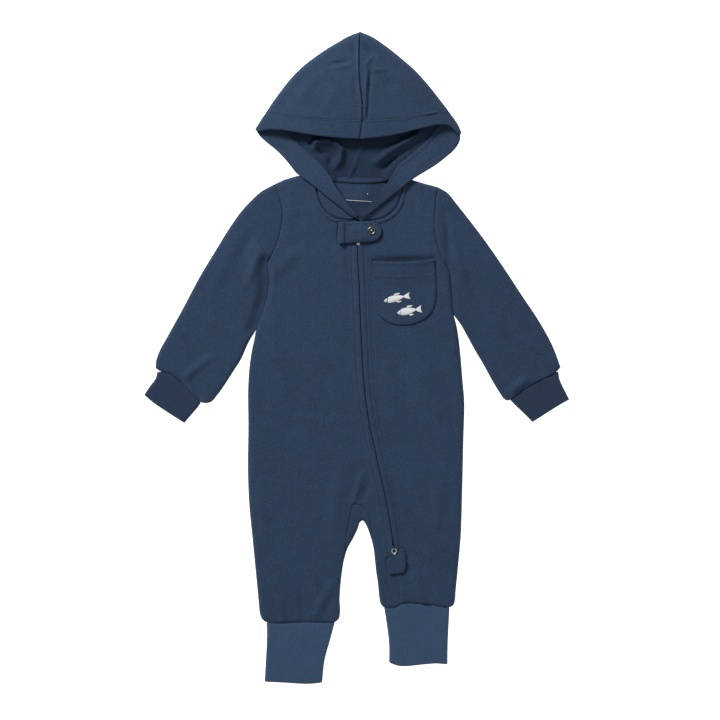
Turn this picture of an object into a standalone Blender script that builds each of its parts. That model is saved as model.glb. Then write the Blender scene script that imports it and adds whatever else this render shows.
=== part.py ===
"""Hooded zip romper for a baby, laid out flat on its back.

The garment lies on the plane z = 0 with the head at +Y and the front facing +Z, so the wearer's right
side is at -X. Sizes and tables are in millimetres, and mesh points are scaled to metres at the end.
Panels are walls between two height fields over an outline. Sleeves and cuffs are flattened pouches of
two layers, and the hood's pieces are lofts between two skins, all read from the same edge profile.
"""

from collections import namedtuple
from math import cos, radians, sin

import bmesh
import bpy
import numpy as np
from mathutils.geometry import delaunay_2d_cdt

MM = 0.001
Form = namedtuple("Form", "kind cloth height roll middle")

# Cloth and seams
CLOTH = 1.5  # sweatshirt jersey
RIB = 2.1  # cuff rib, folded double
HEM = 2.4  # turned hem of the hood, two layers of jersey
SEAM = 0.3  # clearance between two pieces that are sewn together
HALF_SEAM = SEAM / 2

# Heights above the table
BODY_HEIGHT = 6.6  # outer face of the front over the outer face of the back
BODY_MIDDLE = 3.2  # height of the side seam on the rounded edge
BODY_ROLL = 5.5  # width of the rounded edge
END_DEPTHS = (3.0, 5.8)  # places of extra points at the ends of a seam
CUFF_HEIGHT = 5.4
CUFF_MIDDLE = 2.7
CUFF_ROLL = 4.0
SLEEVE_FORM = Form("jersey", CLOTH, BODY_HEIGHT, BODY_ROLL, BODY_MIDDLE)
CUFF_FORM = Form("rib", RIB, CUFF_HEIGHT, CUFF_ROLL, CUFF_MIDDLE)
HOOD_EDGE = 7.6  # outer height of the hood along its outline
HOOD_CROWN = 9.4  # further rise of the hood towards the middle of the face opening
HOOD_SLOPE = 85.0  # distance from the outline over which the hood reaches its full height
HOOD_MIDDLE = 3.8
HOOD_ROLL = 6.0
HOOD_DEPTHS = (0, CLOTH, HOOD_ROLL, 14, 30, 48, 66, 84)  # points down each column from the outline
SEAM_REACH = 5  # columns over which the bow of the centre seam fades out

# Relief of the fronts
NECK_RIDGE = 0.7  # lift over the seam allowance below the neckline
NECK_RIDGE_HALF = 4.0
NECK_RIDGE_FADE = 2.5
CUFF_DIP = 1.0  # fall of the leg's end towards its cuff
CUFF_DIP_REACH = 6.0

# Points of the meshes
SAME = 0.4  # two points of an outline that are nearer than this are one
CLEAR = 0.7  # room between the inner skin's rim and the next point
EXTRA_CLEAR = 0.9  # room between the outline and an extra point
ROW_STEP = 0.866  # height of an equilateral triangle over its side

# Zip
ZIP_GAP = 0.8  # half of the gap between the two fronts
ZIP_RIDGE = 0.8  # lift of the fronts over the zip tape
ZIP_RIDGE_HALF = 8.5
ZIP_RIDGE_FADE = 3.5
TAPE_HALF = 7.4
TAPE = 0.6
TAPE_TOP = 5.5
TAPE_TOP_Y = 157.0
TAPE_BOTTOM_Y = -238.0
COIL_HALF = 0.45
COIL_TOP = 6.6
SLIDER_GAP = 3.4  # half gap where a slider sits
SLIDER_SPREAD = 9.0  # length of front edge on each side of a slider that opens up

Point = namedtuple("Point", "x y")
CuffRow = namedtuple("CuffRow", "left_x left_y right_x right_y")
SleeveRow = namedtuple("SleeveRow", "outer_x outer_y inner_x inner_y")
HoodColumn = namedtuple("HoodColumn", "hem_x hem_y rim_x rim_y low_x low_y")
HemRow = namedtuple("HemRow", "free_x free_y seam_x seam_y free_lift seam_lift")
CornerRow = namedtuple("CornerRow", "neck_x neck_y roll_x roll_y neck_z roll_z")
Fold = namedtuple("Fold", "x0 y0 x1 y1 half_width height")
Side = namedtuple(
    "Side",
    "name armhole sleeve sleeve_end cuff cuff_hem shoulder side inseam gusset leg_end leg_cuff leg_hem",
)

# One table for each side of the garment, a row for each section or a knot for each bend of an edge.
RIGHT = Side(
    name="right",
    armhole=[(-95, 200), (-88.5, 185), (-85.5, 169), (-86.5, 152), (-91, 134), (-98, 118), (-103, 108)],
    sleeve=[
        SleeveRow(-95, 200, -103, 108),
        SleeveRow(-110, 191, -101.5, 98),
        SleeveRow(-122, 180, -101, 86),
        SleeveRow(-133, 168, -103, 70),
        SleeveRow(-147, 148, -109, 50),
        SleeveRow(-163, 122, -116, 32),
        SleeveRow(-181, 92, -123, 17),
        SleeveRow(-199, 58, -133, -1),
        SleeveRow(-215, 29, -143, -17),
        SleeveRow(-227, 7, -152, -31),
        SleeveRow(-231.5, -4, -159, -41),
        SleeveRow(-232, -12, -163, -46),
    ],
    sleeve_end=[
        (-232, -12), (-225, -16), (-214, -19), (-200, -31), (-186, -46), (-177, -52), (-168, -51),
        (-163, -46),
    ],
    cuff=[
        CuffRow(-230, -16.5, -179.5, -51.5),
        CuffRow(-232, -24, -183.5, -57.5),
        CuffRow(-238, -32, -190.5, -65.5),
        CuffRow(-244.5, -41.5, -198, -74),
    ],
    cuff_hem=[(-244.5, -41.5), (-234.5, -50), (-220, -60), (-198, -74)],
    shoulder=[(-50, 211), (-69, 208), (-81, 204), (-95, 200)],
    side=[
        (-116, 32), (-121, 8), (-124, -14), (-125, -38), (-124.5, -80), (-125, -129), (-123.5, -168),
        (-119.5, -210), (-115, -256), (-112, -284), (-110, -296), (-106, -303),
    ],
    inseam=[
        (7, -185), (1.5, -189), (0.5, -197), (-4, -208), (-10.5, -220), (-14.5, -233), (-18, -256),
        (-20, -279), (-20.5, -291), (-24, -301),
    ],
    gusset=[(-4, -169), (-6.5, -178), (-8.5, -188), (-11, -201), (-14, -213), (-14.5, -221)],
    leg_end=[(-106, -303), (-98, -304.5), (-88, -305), (-63, -304), (-33, -304), (-24, -301)],
    leg_cuff=[
        CuffRow(-104, -304.6, -27.5, -303.6),
        CuffRow(-103, -325, -32, -325),
        CuffRow(-103.5, -348, -37.5, -348),
        CuffRow(-105.5, -372, -41.5, -373),
    ],
    leg_hem=[(-105.5, -372), (-84, -373), (-56, -374.5), (-41.5, -373)],
)
LEFT = Side(
    name="left",
    armhole=[(93, 197), (91, 181), (90, 165), (90, 149), (92, 134), (97, 119), (104, 107)],
    sleeve=[
        SleeveRow(93, 197, 104, 107),
        SleeveRow(104, 190, 108, 97),
        SleeveRow(114, 178, 109, 83),
        SleeveRow(125, 164, 110, 67),
        SleeveRow(139, 146, 112, 49),
        SleeveRow(155, 124, 118, 39),
        SleeveRow(172, 99, 126, 25),
        SleeveRow(191, 70, 136, 9),
        SleeveRow(209, 43, 146, -8),
        SleeveRow(224, 16, 157, -28),
        SleeveRow(232, -2, 165, -41),
        SleeveRow(235, -11, 169, -47),
    ],
    sleeve_end=[
        (235, -11), (229, -17), (213, -25.5), (202, -31), (190, -38), (180, -46), (174, -49.5), (169, -47),
    ],
    cuff=[
        CuffRow(232.5, -16, 177, -48.8),
        CuffRow(234, -25, 184, -56),
        CuffRow(239, -36, 193, -64.5),
        CuffRow(244.5, -47, 202, -73),
    ],
    cuff_hem=[(244.5, -47), (234.5, -52.5), (220, -61.5), (202, -73)],
    shoulder=[(50, 210), (67, 204), (77, 201), (93, 197)],
    side=[
        (112, 49), (116, 32), (119, 9), (122, -26), (124, -51), (123, -95), (121.5, -160), (120, -205),
        (116, -250), (113.5, -270), (112.5, -279), (108.5, -286),
    ],
    inseam=[
        (7, -185), (10, -190), (13, -198), (17, -210), (19.5, -221), (22, -244), (25, -262), (27, -277),
        (30, -286),
    ],
    gusset=[(-4, -169), (1, -169), (7, -171.5), (12, -177), (15.5, -187), (18, -200)],
    leg_end=[
        (30, -286), (37, -287.5), (45, -287), (49.5, -284.3), (54, -282.5), (71, -283), (86, -284),
        (99, -286.5), (108.5, -286),
    ],
    leg_cuff=[
        CuffRow(31.5, -287.2, 107, -287.2),
        CuffRow(35.5, -305, 106, -305),
        CuffRow(38, -328, 105, -328),
        CuffRow(38.3, -350, 104, -352),
    ],
    leg_hem=[(38.3, -350), (50, -354), (78, -352), (92, -351), (104, -352)],
)

# Neckline of the fronts from the centre to each shoulder, and of the back
NECK_FRONT_RIGHT = [
    (1, 159), (-13, 159), (-25, 161), (-34, 166.5), (-41, 176), (-45, 187), (-48, 199), (-50, 211),
]
NECK_FRONT_LEFT = [
    (1, 159), (18, 159), (31, 161), (41, 167.5), (48, 177), (51, 188), (51.5, 199), (50, 210),
]
NECK_BACK = [
    (50, 210), (38.5, 206), (24, 203.4), (7, 202.6), (-11, 203), (-21, 204.2), (-31.5, 206), (-50, 211),
]

# Line of the zip from the neckline to the hem of the wearer's left leg
ZIP_LINE = [
    (1, 159), (1, 128), (1.5, 108), (3, 82), (4, 52), (5.5, 20), (7.5, -18), (10.5, -50), (15, -78),
    (21, -106), (27, -133), (33, -160), (38, -187), (42, -214), (45, -238), (48.5, -263), (49.5, -284.3),
]
ZIP_END_Y = -247.0  # below this the two fronts are simply sewn together

# Hood: columns from the centre seam to the corner of the face opening, over the outline to the back layer
HOOD_RIGHT = [
    HoodColumn(7, 272.5, 4, 374.5, -11, 203),
    HoodColumn(-6, 272.3, -9, 370, -21, 204.2),
    HoodColumn(-19, 272.5, -22, 362.5, -31.5, 206),
    HoodColumn(-31, 273, -34, 355.5, -40, 220),
    HoodColumn(-43, 273.8, -47, 346.5, -49, 229),
    HoodColumn(-56, 275, -60, 336.5, -58, 237),
    HoodColumn(-69, 277, -74, 323, -67, 245),
    HoodColumn(-81, 279, -86, 308, -76, 254),
    HoodColumn(-91, 281, -96, 294.5, -86, 264),
    HoodColumn(-99.5, 281.6, -102.8, 283.9, -97.5, 277.5),
]
HOOD_LEFT = [
    HoodColumn(7, 272.5, 4, 374.5, -11, 203),
    HoodColumn(18, 272.5, 17, 369.5, 7, 202.6),
    HoodColumn(30, 273, 30, 361, 24, 203.4),
    HoodColumn(42, 273.5, 42, 352, 38.5, 206),
    HoodColumn(54, 274.5, 54, 342, 48, 221),
    HoodColumn(65, 276, 66, 331.5, 59, 230),
    HoodColumn(77, 278, 79, 317.5, 70, 240),
    HoodColumn(88, 280.5, 90, 304, 81, 251),
    HoodColumn(97, 283, 100, 291, 91, 264),
    HoodColumn(101.5, 281.6, 105.2, 284, 99.5, 275.2),
]
HOOD_TOP_SEAM = [(7, 272.5), (5, 296), (1.5, 319), (0, 341), (1.5, 360), (4, 374.5)]
HOOD_BACK_SEAM = [(4, 374.5), (4, 330), (4, 285), (4, 243), (-2, 222), (-11, 203)]
HOOD_OUTLINE = [
    (-116.5, 264), (-111, 271.5), (-103.5, 283), (-96, 294.5), (-86, 308), (-74, 323), (-60, 336.5),
    (-47, 346.5), (-34, 355.5), (-22, 362.5), (-9, 370), (4, 374.5), (17, 369.5), (30, 361), (42, 352),
    (54, 342), (66, 331.5), (79, 317.5), (90, 304), (100, 291), (109, 279), (116.5, 268.5), (119.5, 259),
]

# Hem of the face opening: rows from the top centre round the corner of the opening to the zip.
# A lift is the height of the underside, and a row without lifts follows the hood's upper layer.
HEM_TOP_RIGHT = [
    HemRow(4, 251, 7, 272.5, None, None),
    HemRow(-8, 251.3, -6, 272.3, None, None),
    HemRow(-20, 252, -19, 272.5, None, None),
    HemRow(-32, 253, -31, 273, None, None),
    HemRow(-44, 254.5, -43, 273.8, None, None),
    HemRow(-57, 256.5, -56, 275, None, None),
    HemRow(-71, 259, -69, 277, None, None),
    HemRow(-85, 261.5, -81, 279, None, None),
    HemRow(-99, 262.5, -91, 281, None, None),
]
HEM_CORNER_RIGHT = ((-116.5, 263), (-103.5, 283))
HEM_LOW_RIGHT = [
    HemRow(-104, 249, -86, 264, 0, 0),
    HemRow(-93, 239.5, -76, 254, 0, 0),
    HemRow(-84, 230.5, -67, 245, 0, 0),
    HemRow(-77, 222, -58, 237, 1.2, 0),
    HemRow(-69.5, 212.5, -49, 229, 4.6, 0.3),
    HemRow(-60, 205.5, -40, 220, 7.6, 3.2),
    HemRow(-47, 195.5, -31, 208, 9.4, 10.2),
    HemRow(-33, 184, -24, 195.5, 10.0, 11.7),
    HemRow(-19, 173, -13.5, 181, 9.9, 11.6),
    HemRow(-7.5, 164.3, -4.5, 169, 9.4, 10.8),
    HemRow(-0.6, 160, 0.5, 163.5, 9.0, 10.2),
]
HEM_TOP_LEFT = [
    HemRow(4, 251, 7, 272.5, None, None),
    HemRow(17, 251.8, 18, 272.5, None, None),
    HemRow(30, 253.3, 30, 273, None, None),
    HemRow(43, 255.5, 42, 273.5, None, None),
    HemRow(56, 258.5, 54, 274.5, None, None),
    HemRow(69, 262, 65, 276, None, None),
    HemRow(83, 265.5, 77, 278, None, None),
    HemRow(96, 268, 88, 280.5, None, None),
    HemRow(106, 267, 97, 283, None, None),
]
HEM_CORNER_LEFT = ((119.5, 259), (107, 281.5))
HEM_LOW_LEFT = [
    HemRow(112.5, 241, 91, 264, 0, 0),
    HemRow(102, 230, 81, 251, 0, 0),
    HemRow(91, 222, 70, 240, 0, 0),
    HemRow(80, 215, 59, 230, 1.8, 0),
    HemRow(68, 207.5, 48, 221, 6.2, 0.3),
    HemRow(55, 198, 40, 208, 9.0, 9.2),
    HemRow(41, 186.5, 32, 195, 9.8, 11.4),
    HemRow(27, 175, 22, 183.5, 10.0, 11.7),
    HemRow(14, 165, 11, 170.5, 9.6, 11.0),
    HemRow(2.6, 160, 1.5, 163.5, 9.0, 10.2),
]

# Front corners of the hood, which rise from the neckline and roll under the hem
CORNER_RIGHT = [
    CornerRow(-47.6, 199.5, -36, 204.5, 8.0, 7.8),
    CornerRow(-45.6, 191.5, -29.5, 203, 8.0, 9.2),
    CornerRow(-43.5, 182.5, -25.5, 195.5, 8.0, 10.3),
    CornerRow(-38.5, 172, -19, 185, 8.0, 10.3),
    CornerRow(-30, 163.5, -12, 175.5, 8.0, 10.2),
    CornerRow(-19, 160.2, -6, 167.5, 8.0, 9.5),
    CornerRow(-6, 159.4, -1, 162.5, 8.0, 8.7),
]
CORNER_LEFT = [
    CornerRow(51.5, 199, 44.5, 201.5, 8.0, 7.7),
    CornerRow(51.2, 189, 36, 196, 8.0, 10.0),
    CornerRow(48.5, 178, 28, 188, 8.0, 10.3),
    CornerRow(42, 168.5, 20, 178, 8.0, 10.3),
    CornerRow(31.5, 161.5, 13, 169, 8.0, 9.9),
    CornerRow(19, 159.4, 7, 163.5, 8.0, 9.0),
    CornerRow(8, 159.3, 3, 161.3, 8.0, 8.6),
]

CORNER_START = 0.04  # share of each row that the seam allowance takes

# Largest folds: the line of the crest, half of its width and its height, negative for a trough
BODY_FOLDS = [
    Fold(8, -128, -5, -168, 7, 1.3),
    Fold(-22, 128, -12, 92, 9, 0.9),
    Fold(66, -250, 80, -284, 7, 1.3),
    Fold(-30, -262, -48, -296, 9, 1.4),
    Fold(-70, 120, -96, 96, 12, 1.0),
    Fold(74, 125, 96, 100, 12, 0.9),
]
SLEEVE_FOLDS = [
    Fold(-101, 140, -99, 112, 7, -1.8),
    Fold(-112, 118, -128, 84, 9, 1.1),
    Fold(-196, -22, -172, -2, 8, 1.2),
    Fold(178, -38, 196, -24, 8, 1.5),
    Fold(112, 124, 124, 90, 9, 1.0),
]
HOOD_FOLDS = [
    Fold(-12, 345, -16, 300, 9, -1.6),
    Fold(20, 346, 16, 300, 7, -1.8),
    Fold(6, 335, 8, 290, 4, 1.2),
]
HOOD_BACK_FOLDS = [
    Fold(-42, 236, -24, 224, 8, 2.8),
    Fold(66, 246, 24, 224, 9, 3.2),
    Fold(-8, 252, -4, 222, 7, 1.6),
]

# Small pieces on the front
POCKET = [
    (18.5, 111.5), (18.3, 90), (18.5, 70), (20.5, 58), (25.5, 49), (34, 42), (44, 38.5), (54, 37.5),
    (66, 39.3), (77, 44), (85, 51), (90, 62), (91.5, 80), (90.5, 100), (89.5, 114), (71, 111), (53, 109.8),
    (35, 110.3),
]
POCKET_HEM = 16.0
POCKET_GAPE = 2.6  # lift of the pocket's mouth off the front
CHIN_GUARD = [
    (-21, 156.3), (-21, 131.5), (-13.5, 131.5), (5, 132.5), (18, 133.5), (24, 136), (28, 141), (29, 146.5),
    (27.5, 151.5), (24, 155), (18, 156.6), (0, 156.6), (-13.5, 156.3),
]
GUARD_BULGE = 1.7  # lift of the guard over the slider
CHIN_FOLD_X = -13.5  # the folded end of the guard lies at -X of this line
SNAP = Point(17, 146)
SNAP_OUTER = 4.6
SNAP_INNER = 3.0
SNAP_HEIGHT = 1.1
ZIP_PATCH = [
    (34, -231.5), (34.8, -244), (37.6, -249.3), (42, -249), (55, -245.5), (56.3, -228), (53, -219.2),
    (49, -220), (46.8, -226), (38.3, -229.3),
]
PATCH = 2.2
LABEL = [(-15, 163), (20, 163), (20, 181.5), (-15, 181.5)]
NECK_TAPE = [(-34, 207.5), (-15, 205.2), (4, 204.5), (23, 205), (39, 207.6)]
NECK_TAPE_WIDTH = 6.0
TOP_SLIDER = Point(1.0, 141.0)
LOW_SLIDER = Point(42.7, -219.4)
SLIDER_LENGTH = 7.6
SLIDER_WIDTH = 5.4
SLIDER_BASE = 6.9
SLIDER_TOP = 8.1
BAIL_CLEAR = 10.25  # underside of the slider's bridge
BAIL = 0.7
BAIL_WIDTH = 1.4
BAIL_HALF = 2.7
PULL_Z = 9.2  # height of the pull's pivot bar
PULL = 1.0
EYE_OUTER = 3.2
EYE_INNER = 1.95
PULL_STEM = 4.7  # from the middle of the eye to the end of the stem
PULL_STEM_HALF = 1.3

COLOURS = {  # sRGB, roughness, metallic
    "jersey": ((0.19, 0.26, 0.35), 0.9, 0.0),
    "rib": ((0.18, 0.25, 0.34), 0.9, 0.0),
    "label": ((0.14, 0.19, 0.29), 0.7, 0.0),
    "tape": ((0.11, 0.14, 0.20), 0.8, 0.0),
    "metal": ((0.62, 0.60, 0.55), 0.3, 1.0),
}


# ---------------------------------------------------------------- plan geometry


def smooth(knots, step=7.0):
    """Points along a centripetal Catmull-Rom curve through the knots, about a step apart."""
    k = np.array(knots, float)
    k = np.vstack([2 * k[0] - k[1], k, 2 * k[-1] - k[-2]])
    out = []
    for a, b, c, d in zip(k, k[1:], k[2:], k[3:]):
        t = np.cumsum([0.0, *(np.linalg.norm(q - p) ** 0.5 for p, q in ((a, b), (b, c), (c, d)))])
        count = max(1, round(float(np.linalg.norm(c - b)) / step))
        for u in np.linspace(t[1], t[2], count, endpoint=False):
            ab = (a * (t[1] - u) + b * (u - t[0])) / (t[1] - t[0])
            bc = (b * (t[2] - u) + c * (u - t[1])) / (t[2] - t[1])
            cd = (c * (t[3] - u) + d * (u - t[2])) / (t[3] - t[2])
            abc = (ab * (t[2] - u) + bc * (u - t[0])) / (t[2] - t[0])
            bcd = (bc * (t[3] - u) + cd * (u - t[1])) / (t[3] - t[1])
            out.append((abc * (t[2] - u) + bcd * (u - t[1])) / (t[2] - t[1]))
    return np.vstack([out, k[-2]])


def along(line, shares):
    """Points at the given shares of a polyline's length."""
    line = np.array(line, float)
    run = np.concatenate([[0], np.cumsum(np.linalg.norm(np.diff(line, axis=0), axis=1))])
    places = np.array(shares) * run[-1]
    return np.stack([np.interp(places, run, line[:, i]) for i in range(line.shape[1])], axis=-1)


def seam_points(knots):
    """The knots of a seam with points close to both ends, where the cloth curves to its rim."""
    line = np.array(knots, float)
    run = np.concatenate([[0], np.cumsum(np.linalg.norm(np.diff(line, axis=0), axis=1))])
    near = [d for d in (*END_DEPTHS, *(run[-1] - d for d in END_DEPTHS)) if 0.5 < d < run[-1] - 0.5]
    kept = [d for d in run[1:-1] if min(abs(d - e) for e in near) > 1.2]
    return along(line, np.array([0, *sorted([*near, *kept]), run[-1]]) / run[-1])


def shifted(line, amount):
    """A polyline moved sideways, to the left of its direction, by an amount or one amount a point."""
    line = np.array(line, float)
    step = np.diff(line, axis=0)
    step /= np.linalg.norm(step, axis=1)[:, None]
    left = np.stack([-step[:, 1], step[:, 0]], axis=1)
    mitre = np.vstack([left[:1], left[:-1] + left[1:], left[-1:]])
    mitre /= np.maximum((mitre * np.vstack([left[:1], left])).sum(1), 0.5)[:, None]
    return line + mitre * np.broadcast_to(amount, len(line))[:, None]


def between(line, high, low):
    """The stretch of a line that runs downwards between two values of y."""
    ends = [[np.interp(-y, -line[:, 1], line[:, 0]), y] for y in (high, low)]
    kept = line[(line[:, 1] < high - 1) & (line[:, 1] > low + 1)]
    return np.vstack([ends[:1], kept, ends[1:]])


def distance(points, line):
    """Distance from each point to a polyline."""
    points, line = np.atleast_2d(points)[:, :2], np.array(line, float)[:, :2]
    best = np.full(len(points), 1e9)
    for a, b in zip(line, line[1:]):
        ab = b - a
        t = np.clip(((points - a) @ ab) / max(ab @ ab, 1e-12), 0, 1)
        best = np.minimum(best, np.linalg.norm(points - a - t[:, None] * ab, axis=1))
    return best


def nearest(points, lines):
    """Distance from each point to the nearest of several polylines."""
    return np.min([distance(points, line) for line in lines], axis=0)


def inside(points, outline):
    """Whether each point lies inside a closed outline."""
    x, y = points[:, 0], points[:, 1]
    hit = np.zeros(len(points), bool)
    for (ax, ay), (bx, by) in zip(outline, np.roll(outline, -1, axis=0)):
        crosses = (ay > y) != (by > y)
        with np.errstate(divide="ignore", invalid="ignore"):
            hit ^= crosses & (x < (bx - ax) * (y - ay) / (by - ay) + ax)
    return hit


def tidy(outline, least=0.6):
    """An outline without points that nearly repeat their neighbour."""
    kept = [outline[0]]
    for p in outline[1:]:
        if np.linalg.norm(p - kept[-1]) > least:
            kept.append(p)
    if np.linalg.norm(kept[0] - kept[-1]) < least:
        kept.pop()
    return np.array(kept)


# ---------------------------------------------------------------- heights


def rise(share):
    """A quarter of an ellipse, from 0 at the edge of the cloth to 1 where it lies level."""
    share = np.clip(share, 0, 1)
    return np.sqrt(np.maximum(0, 1 - (1 - share) ** 2))


def fade(share):
    """Smooth step from 1 at 0 to 0 at 1."""
    share = np.clip(share, 0, 1)
    return 1 - share * share * (3 - 2 * share)


def skins(d, height, cloth, roll, middle):
    """Heights of the upper layer's outer and inner face and the lower layer's inner and outer face."""
    outer, inner = rise(d / roll), rise((d - cloth) / (roll - cloth))
    return (
        middle + (height - middle) * outer,
        middle + (height - cloth - middle) * inner,
        middle - (middle - cloth) * inner,
        middle * (1 - outer),
    )


def folded(points, folds):
    """Lift of the cloth from a table of folds."""
    lift = np.zeros(len(points))
    for f in folds:
        a, b = np.array([f.x0, f.y0], float), np.array([f.x1, f.y1], float)
        share = np.clip(((points[:, :2] - a) @ (b - a)) / ((b - a) @ (b - a)), 0, 1)
        away = np.linalg.norm(points[:, :2] - a - share[:, None] * (b - a), axis=1)
        lift += f.height * fade(away / f.half_width) * (0.55 + 0.45 * np.sin(np.pi * share))
    return lift


def contact(side):
    """The stretch of side seam that the sleeve lies against, from the underarm down."""
    return [(r.inner_x, r.inner_y) for r in side.sleeve if r.inner_y > side.side[0][1]] + [side.side[0]]


def side_line(side):
    """The side seam from the underarm to the cuff, with the knots that the sleeve shares."""
    shared = contact(side)
    return np.vstack([shared[:-1], smooth(side.side, 16)])


def inseam_line(side):
    return smooth(side.inseam, 8)


BODY_EDGES = [
    line
    for side in (RIGHT, LEFT)
    for line in (side_line(side), np.array(side.shoulder, float), inseam_line(side))
]
NECK_EDGES = [np.array(NECK_FRONT_RIGHT[:-1], float), np.array(NECK_FRONT_LEFT[:-1], float)]
LEG_ENDS = [np.array(side.leg_end, float) for side in (RIGHT, LEFT)]


def front_relief(points):
    """Lift of the fronts over the zip tape and the neck seam, less the dip into each leg cuff."""
    tape = fade((distance(points, ZIP_LINE) - ZIP_RIDGE_HALF) / ZIP_RIDGE_FADE)
    tape = tape * fade((TAPE_BOTTOM_Y - points[:, 1]) / 12)
    neck = NECK_RIDGE * fade((nearest(points, NECK_EDGES) - NECK_RIDGE_HALF) / NECK_RIDGE_FADE)
    cuff = CUFF_DIP * (1 - rise(nearest(points, LEG_ENDS) / CUFF_DIP_REACH))
    return ZIP_RIDGE * tape + neck * (1 - tape) - cuff + folded(points, BODY_FOLDS)


def front_faces(points):
    d = nearest(points, BODY_EDGES)
    top, under, _, _ = skins(d, BODY_HEIGHT, CLOTH, BODY_ROLL, BODY_MIDDLE + HALF_SEAM)
    lift = front_relief(points) * rise(d / (2 * BODY_ROLL))
    return np.maximum(top + lift, BODY_MIDDLE + HALF_SEAM + 0.5), under + lift * rise(d / 20)


def back_faces(points):
    d = nearest(points, BODY_EDGES)
    _, _, top, under = skins(d, BODY_HEIGHT, CLOTH, BODY_ROLL, BODY_MIDDLE - HALF_SEAM)
    return top, np.minimum(under, BODY_MIDDLE - HALF_SEAM - 0.5)


def hood_height(points):
    """Outer height of the hood's upper layer."""
    share = np.clip(distance(points, HOOD_OUTLINE) / HOOD_SLOPE, 0, 1)
    return HOOD_EDGE + HOOD_CROWN * share * (2 - share)


# ---------------------------------------------------------------- meshes


def material(kind):
    made = bpy.data.materials.get(kind)
    if made is None:
        colour, rough, metal = COLOURS[kind]
        made = bpy.data.materials.new(kind)
        made.use_nodes = True
        shader = made.node_tree.nodes["Principled BSDF"]
        shader.inputs["Base Color"].default_value = (*(c**2.2 for c in colour), 1)
        shader.inputs["Roughness"].default_value = rough
        shader.inputs["Metallic"].default_value = metal
        made.diffuse_color = (*colour, 1)
    return made


def add(name, bm, kind, origin=(0, 0, 0)):
    """A named object from a closed bmesh in millimetres, with its origin at a point in millimetres."""
    bmesh.ops.remove_doubles(bm, verts=bm.verts, dist=1e-3)
    bmesh.ops.dissolve_degenerate(bm, dist=1e-4, edges=bm.edges)
    bmesh.ops.recalc_face_normals(bm, faces=bm.faces)
    bmesh.ops.translate(bm, vec=[-c for c in origin], verts=bm.verts)
    bmesh.ops.scale(bm, vec=(MM, MM, MM), verts=bm.verts)
    mesh = bpy.data.meshes.new(name)
    bm.to_mesh(mesh)
    bm.free()
    mesh.shade_smooth()
    mesh.set_sharp_from_angle(angle=radians(50))
    mesh.materials.append(material(kind))
    made = bpy.data.objects.new(name, mesh)
    made.location = [c * MM for c in origin]
    bpy.context.scene.collection.objects.link(made)
    return made


def filled(outline, extra, spacing):
    """Triangles over an outline, with extra points and a staggered grid of points inside it."""
    low, high = outline.min(0), outline.max(0)
    rows = np.arange(low[1] + spacing / 2, high[1], spacing * ROW_STEP)
    grid = [
        (x, y)
        for i, y in enumerate(rows)
        for x in np.arange(low[0] + spacing * (0.5 + 0.5 * (i % 2)), high[0], spacing)
    ]
    closed = np.vstack([outline, outline[:1]])
    held = []
    for candidates, clear in ((extra, EXTRA_CLEAR), (grid, 0.5 * spacing)):
        p = np.array(candidates, float).reshape(-1, 2)
        p = p[inside(p, outline) & (distance(p, closed) > clear)] if len(p) else p
        apart = min(1.2 * clear, 0.6 * spacing)
        for q in p:
            if not held or np.min(np.linalg.norm(np.array(held) - q, axis=1)) > apart:
                held.append(q)
    points = np.vstack([outline, *([held] if held else [])])
    ring = list(range(len(outline)))
    verts, _, faces, *_ = delaunay_2d_cdt([tuple(p) for p in points], [], [ring], 1, 1e-4)
    return np.array([tuple(v) for v in verts]), faces


def panel(name, outline, faces_at, kind="jersey", extra=(), spacing=22.0):
    """A wall between two height fields over an outline. faces_at gives the top and the underside."""
    points, triangles = filled(tidy(np.array(outline, float)), extra, spacing)
    top, under = faces_at(points)
    bm = bmesh.new()
    upper = [bm.verts.new((*p, z)) for p, z in zip(points, top)]
    lower = [bm.verts.new((*p, z)) for p, z in zip(points, under)]
    uses = {}
    for t in triangles:
        bm.faces.new([upper[i] for i in t])
        bm.faces.new([lower[i] for i in reversed(t)])
        for a, b in zip(t, [*t[1:], t[0]]):
            uses[(a, b)] = True
    for a, b in uses:
        if (b, a) not in uses:
            bm.faces.new([upper[b], upper[a], lower[a], lower[b]])
    return add(name, bm, kind)


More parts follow.
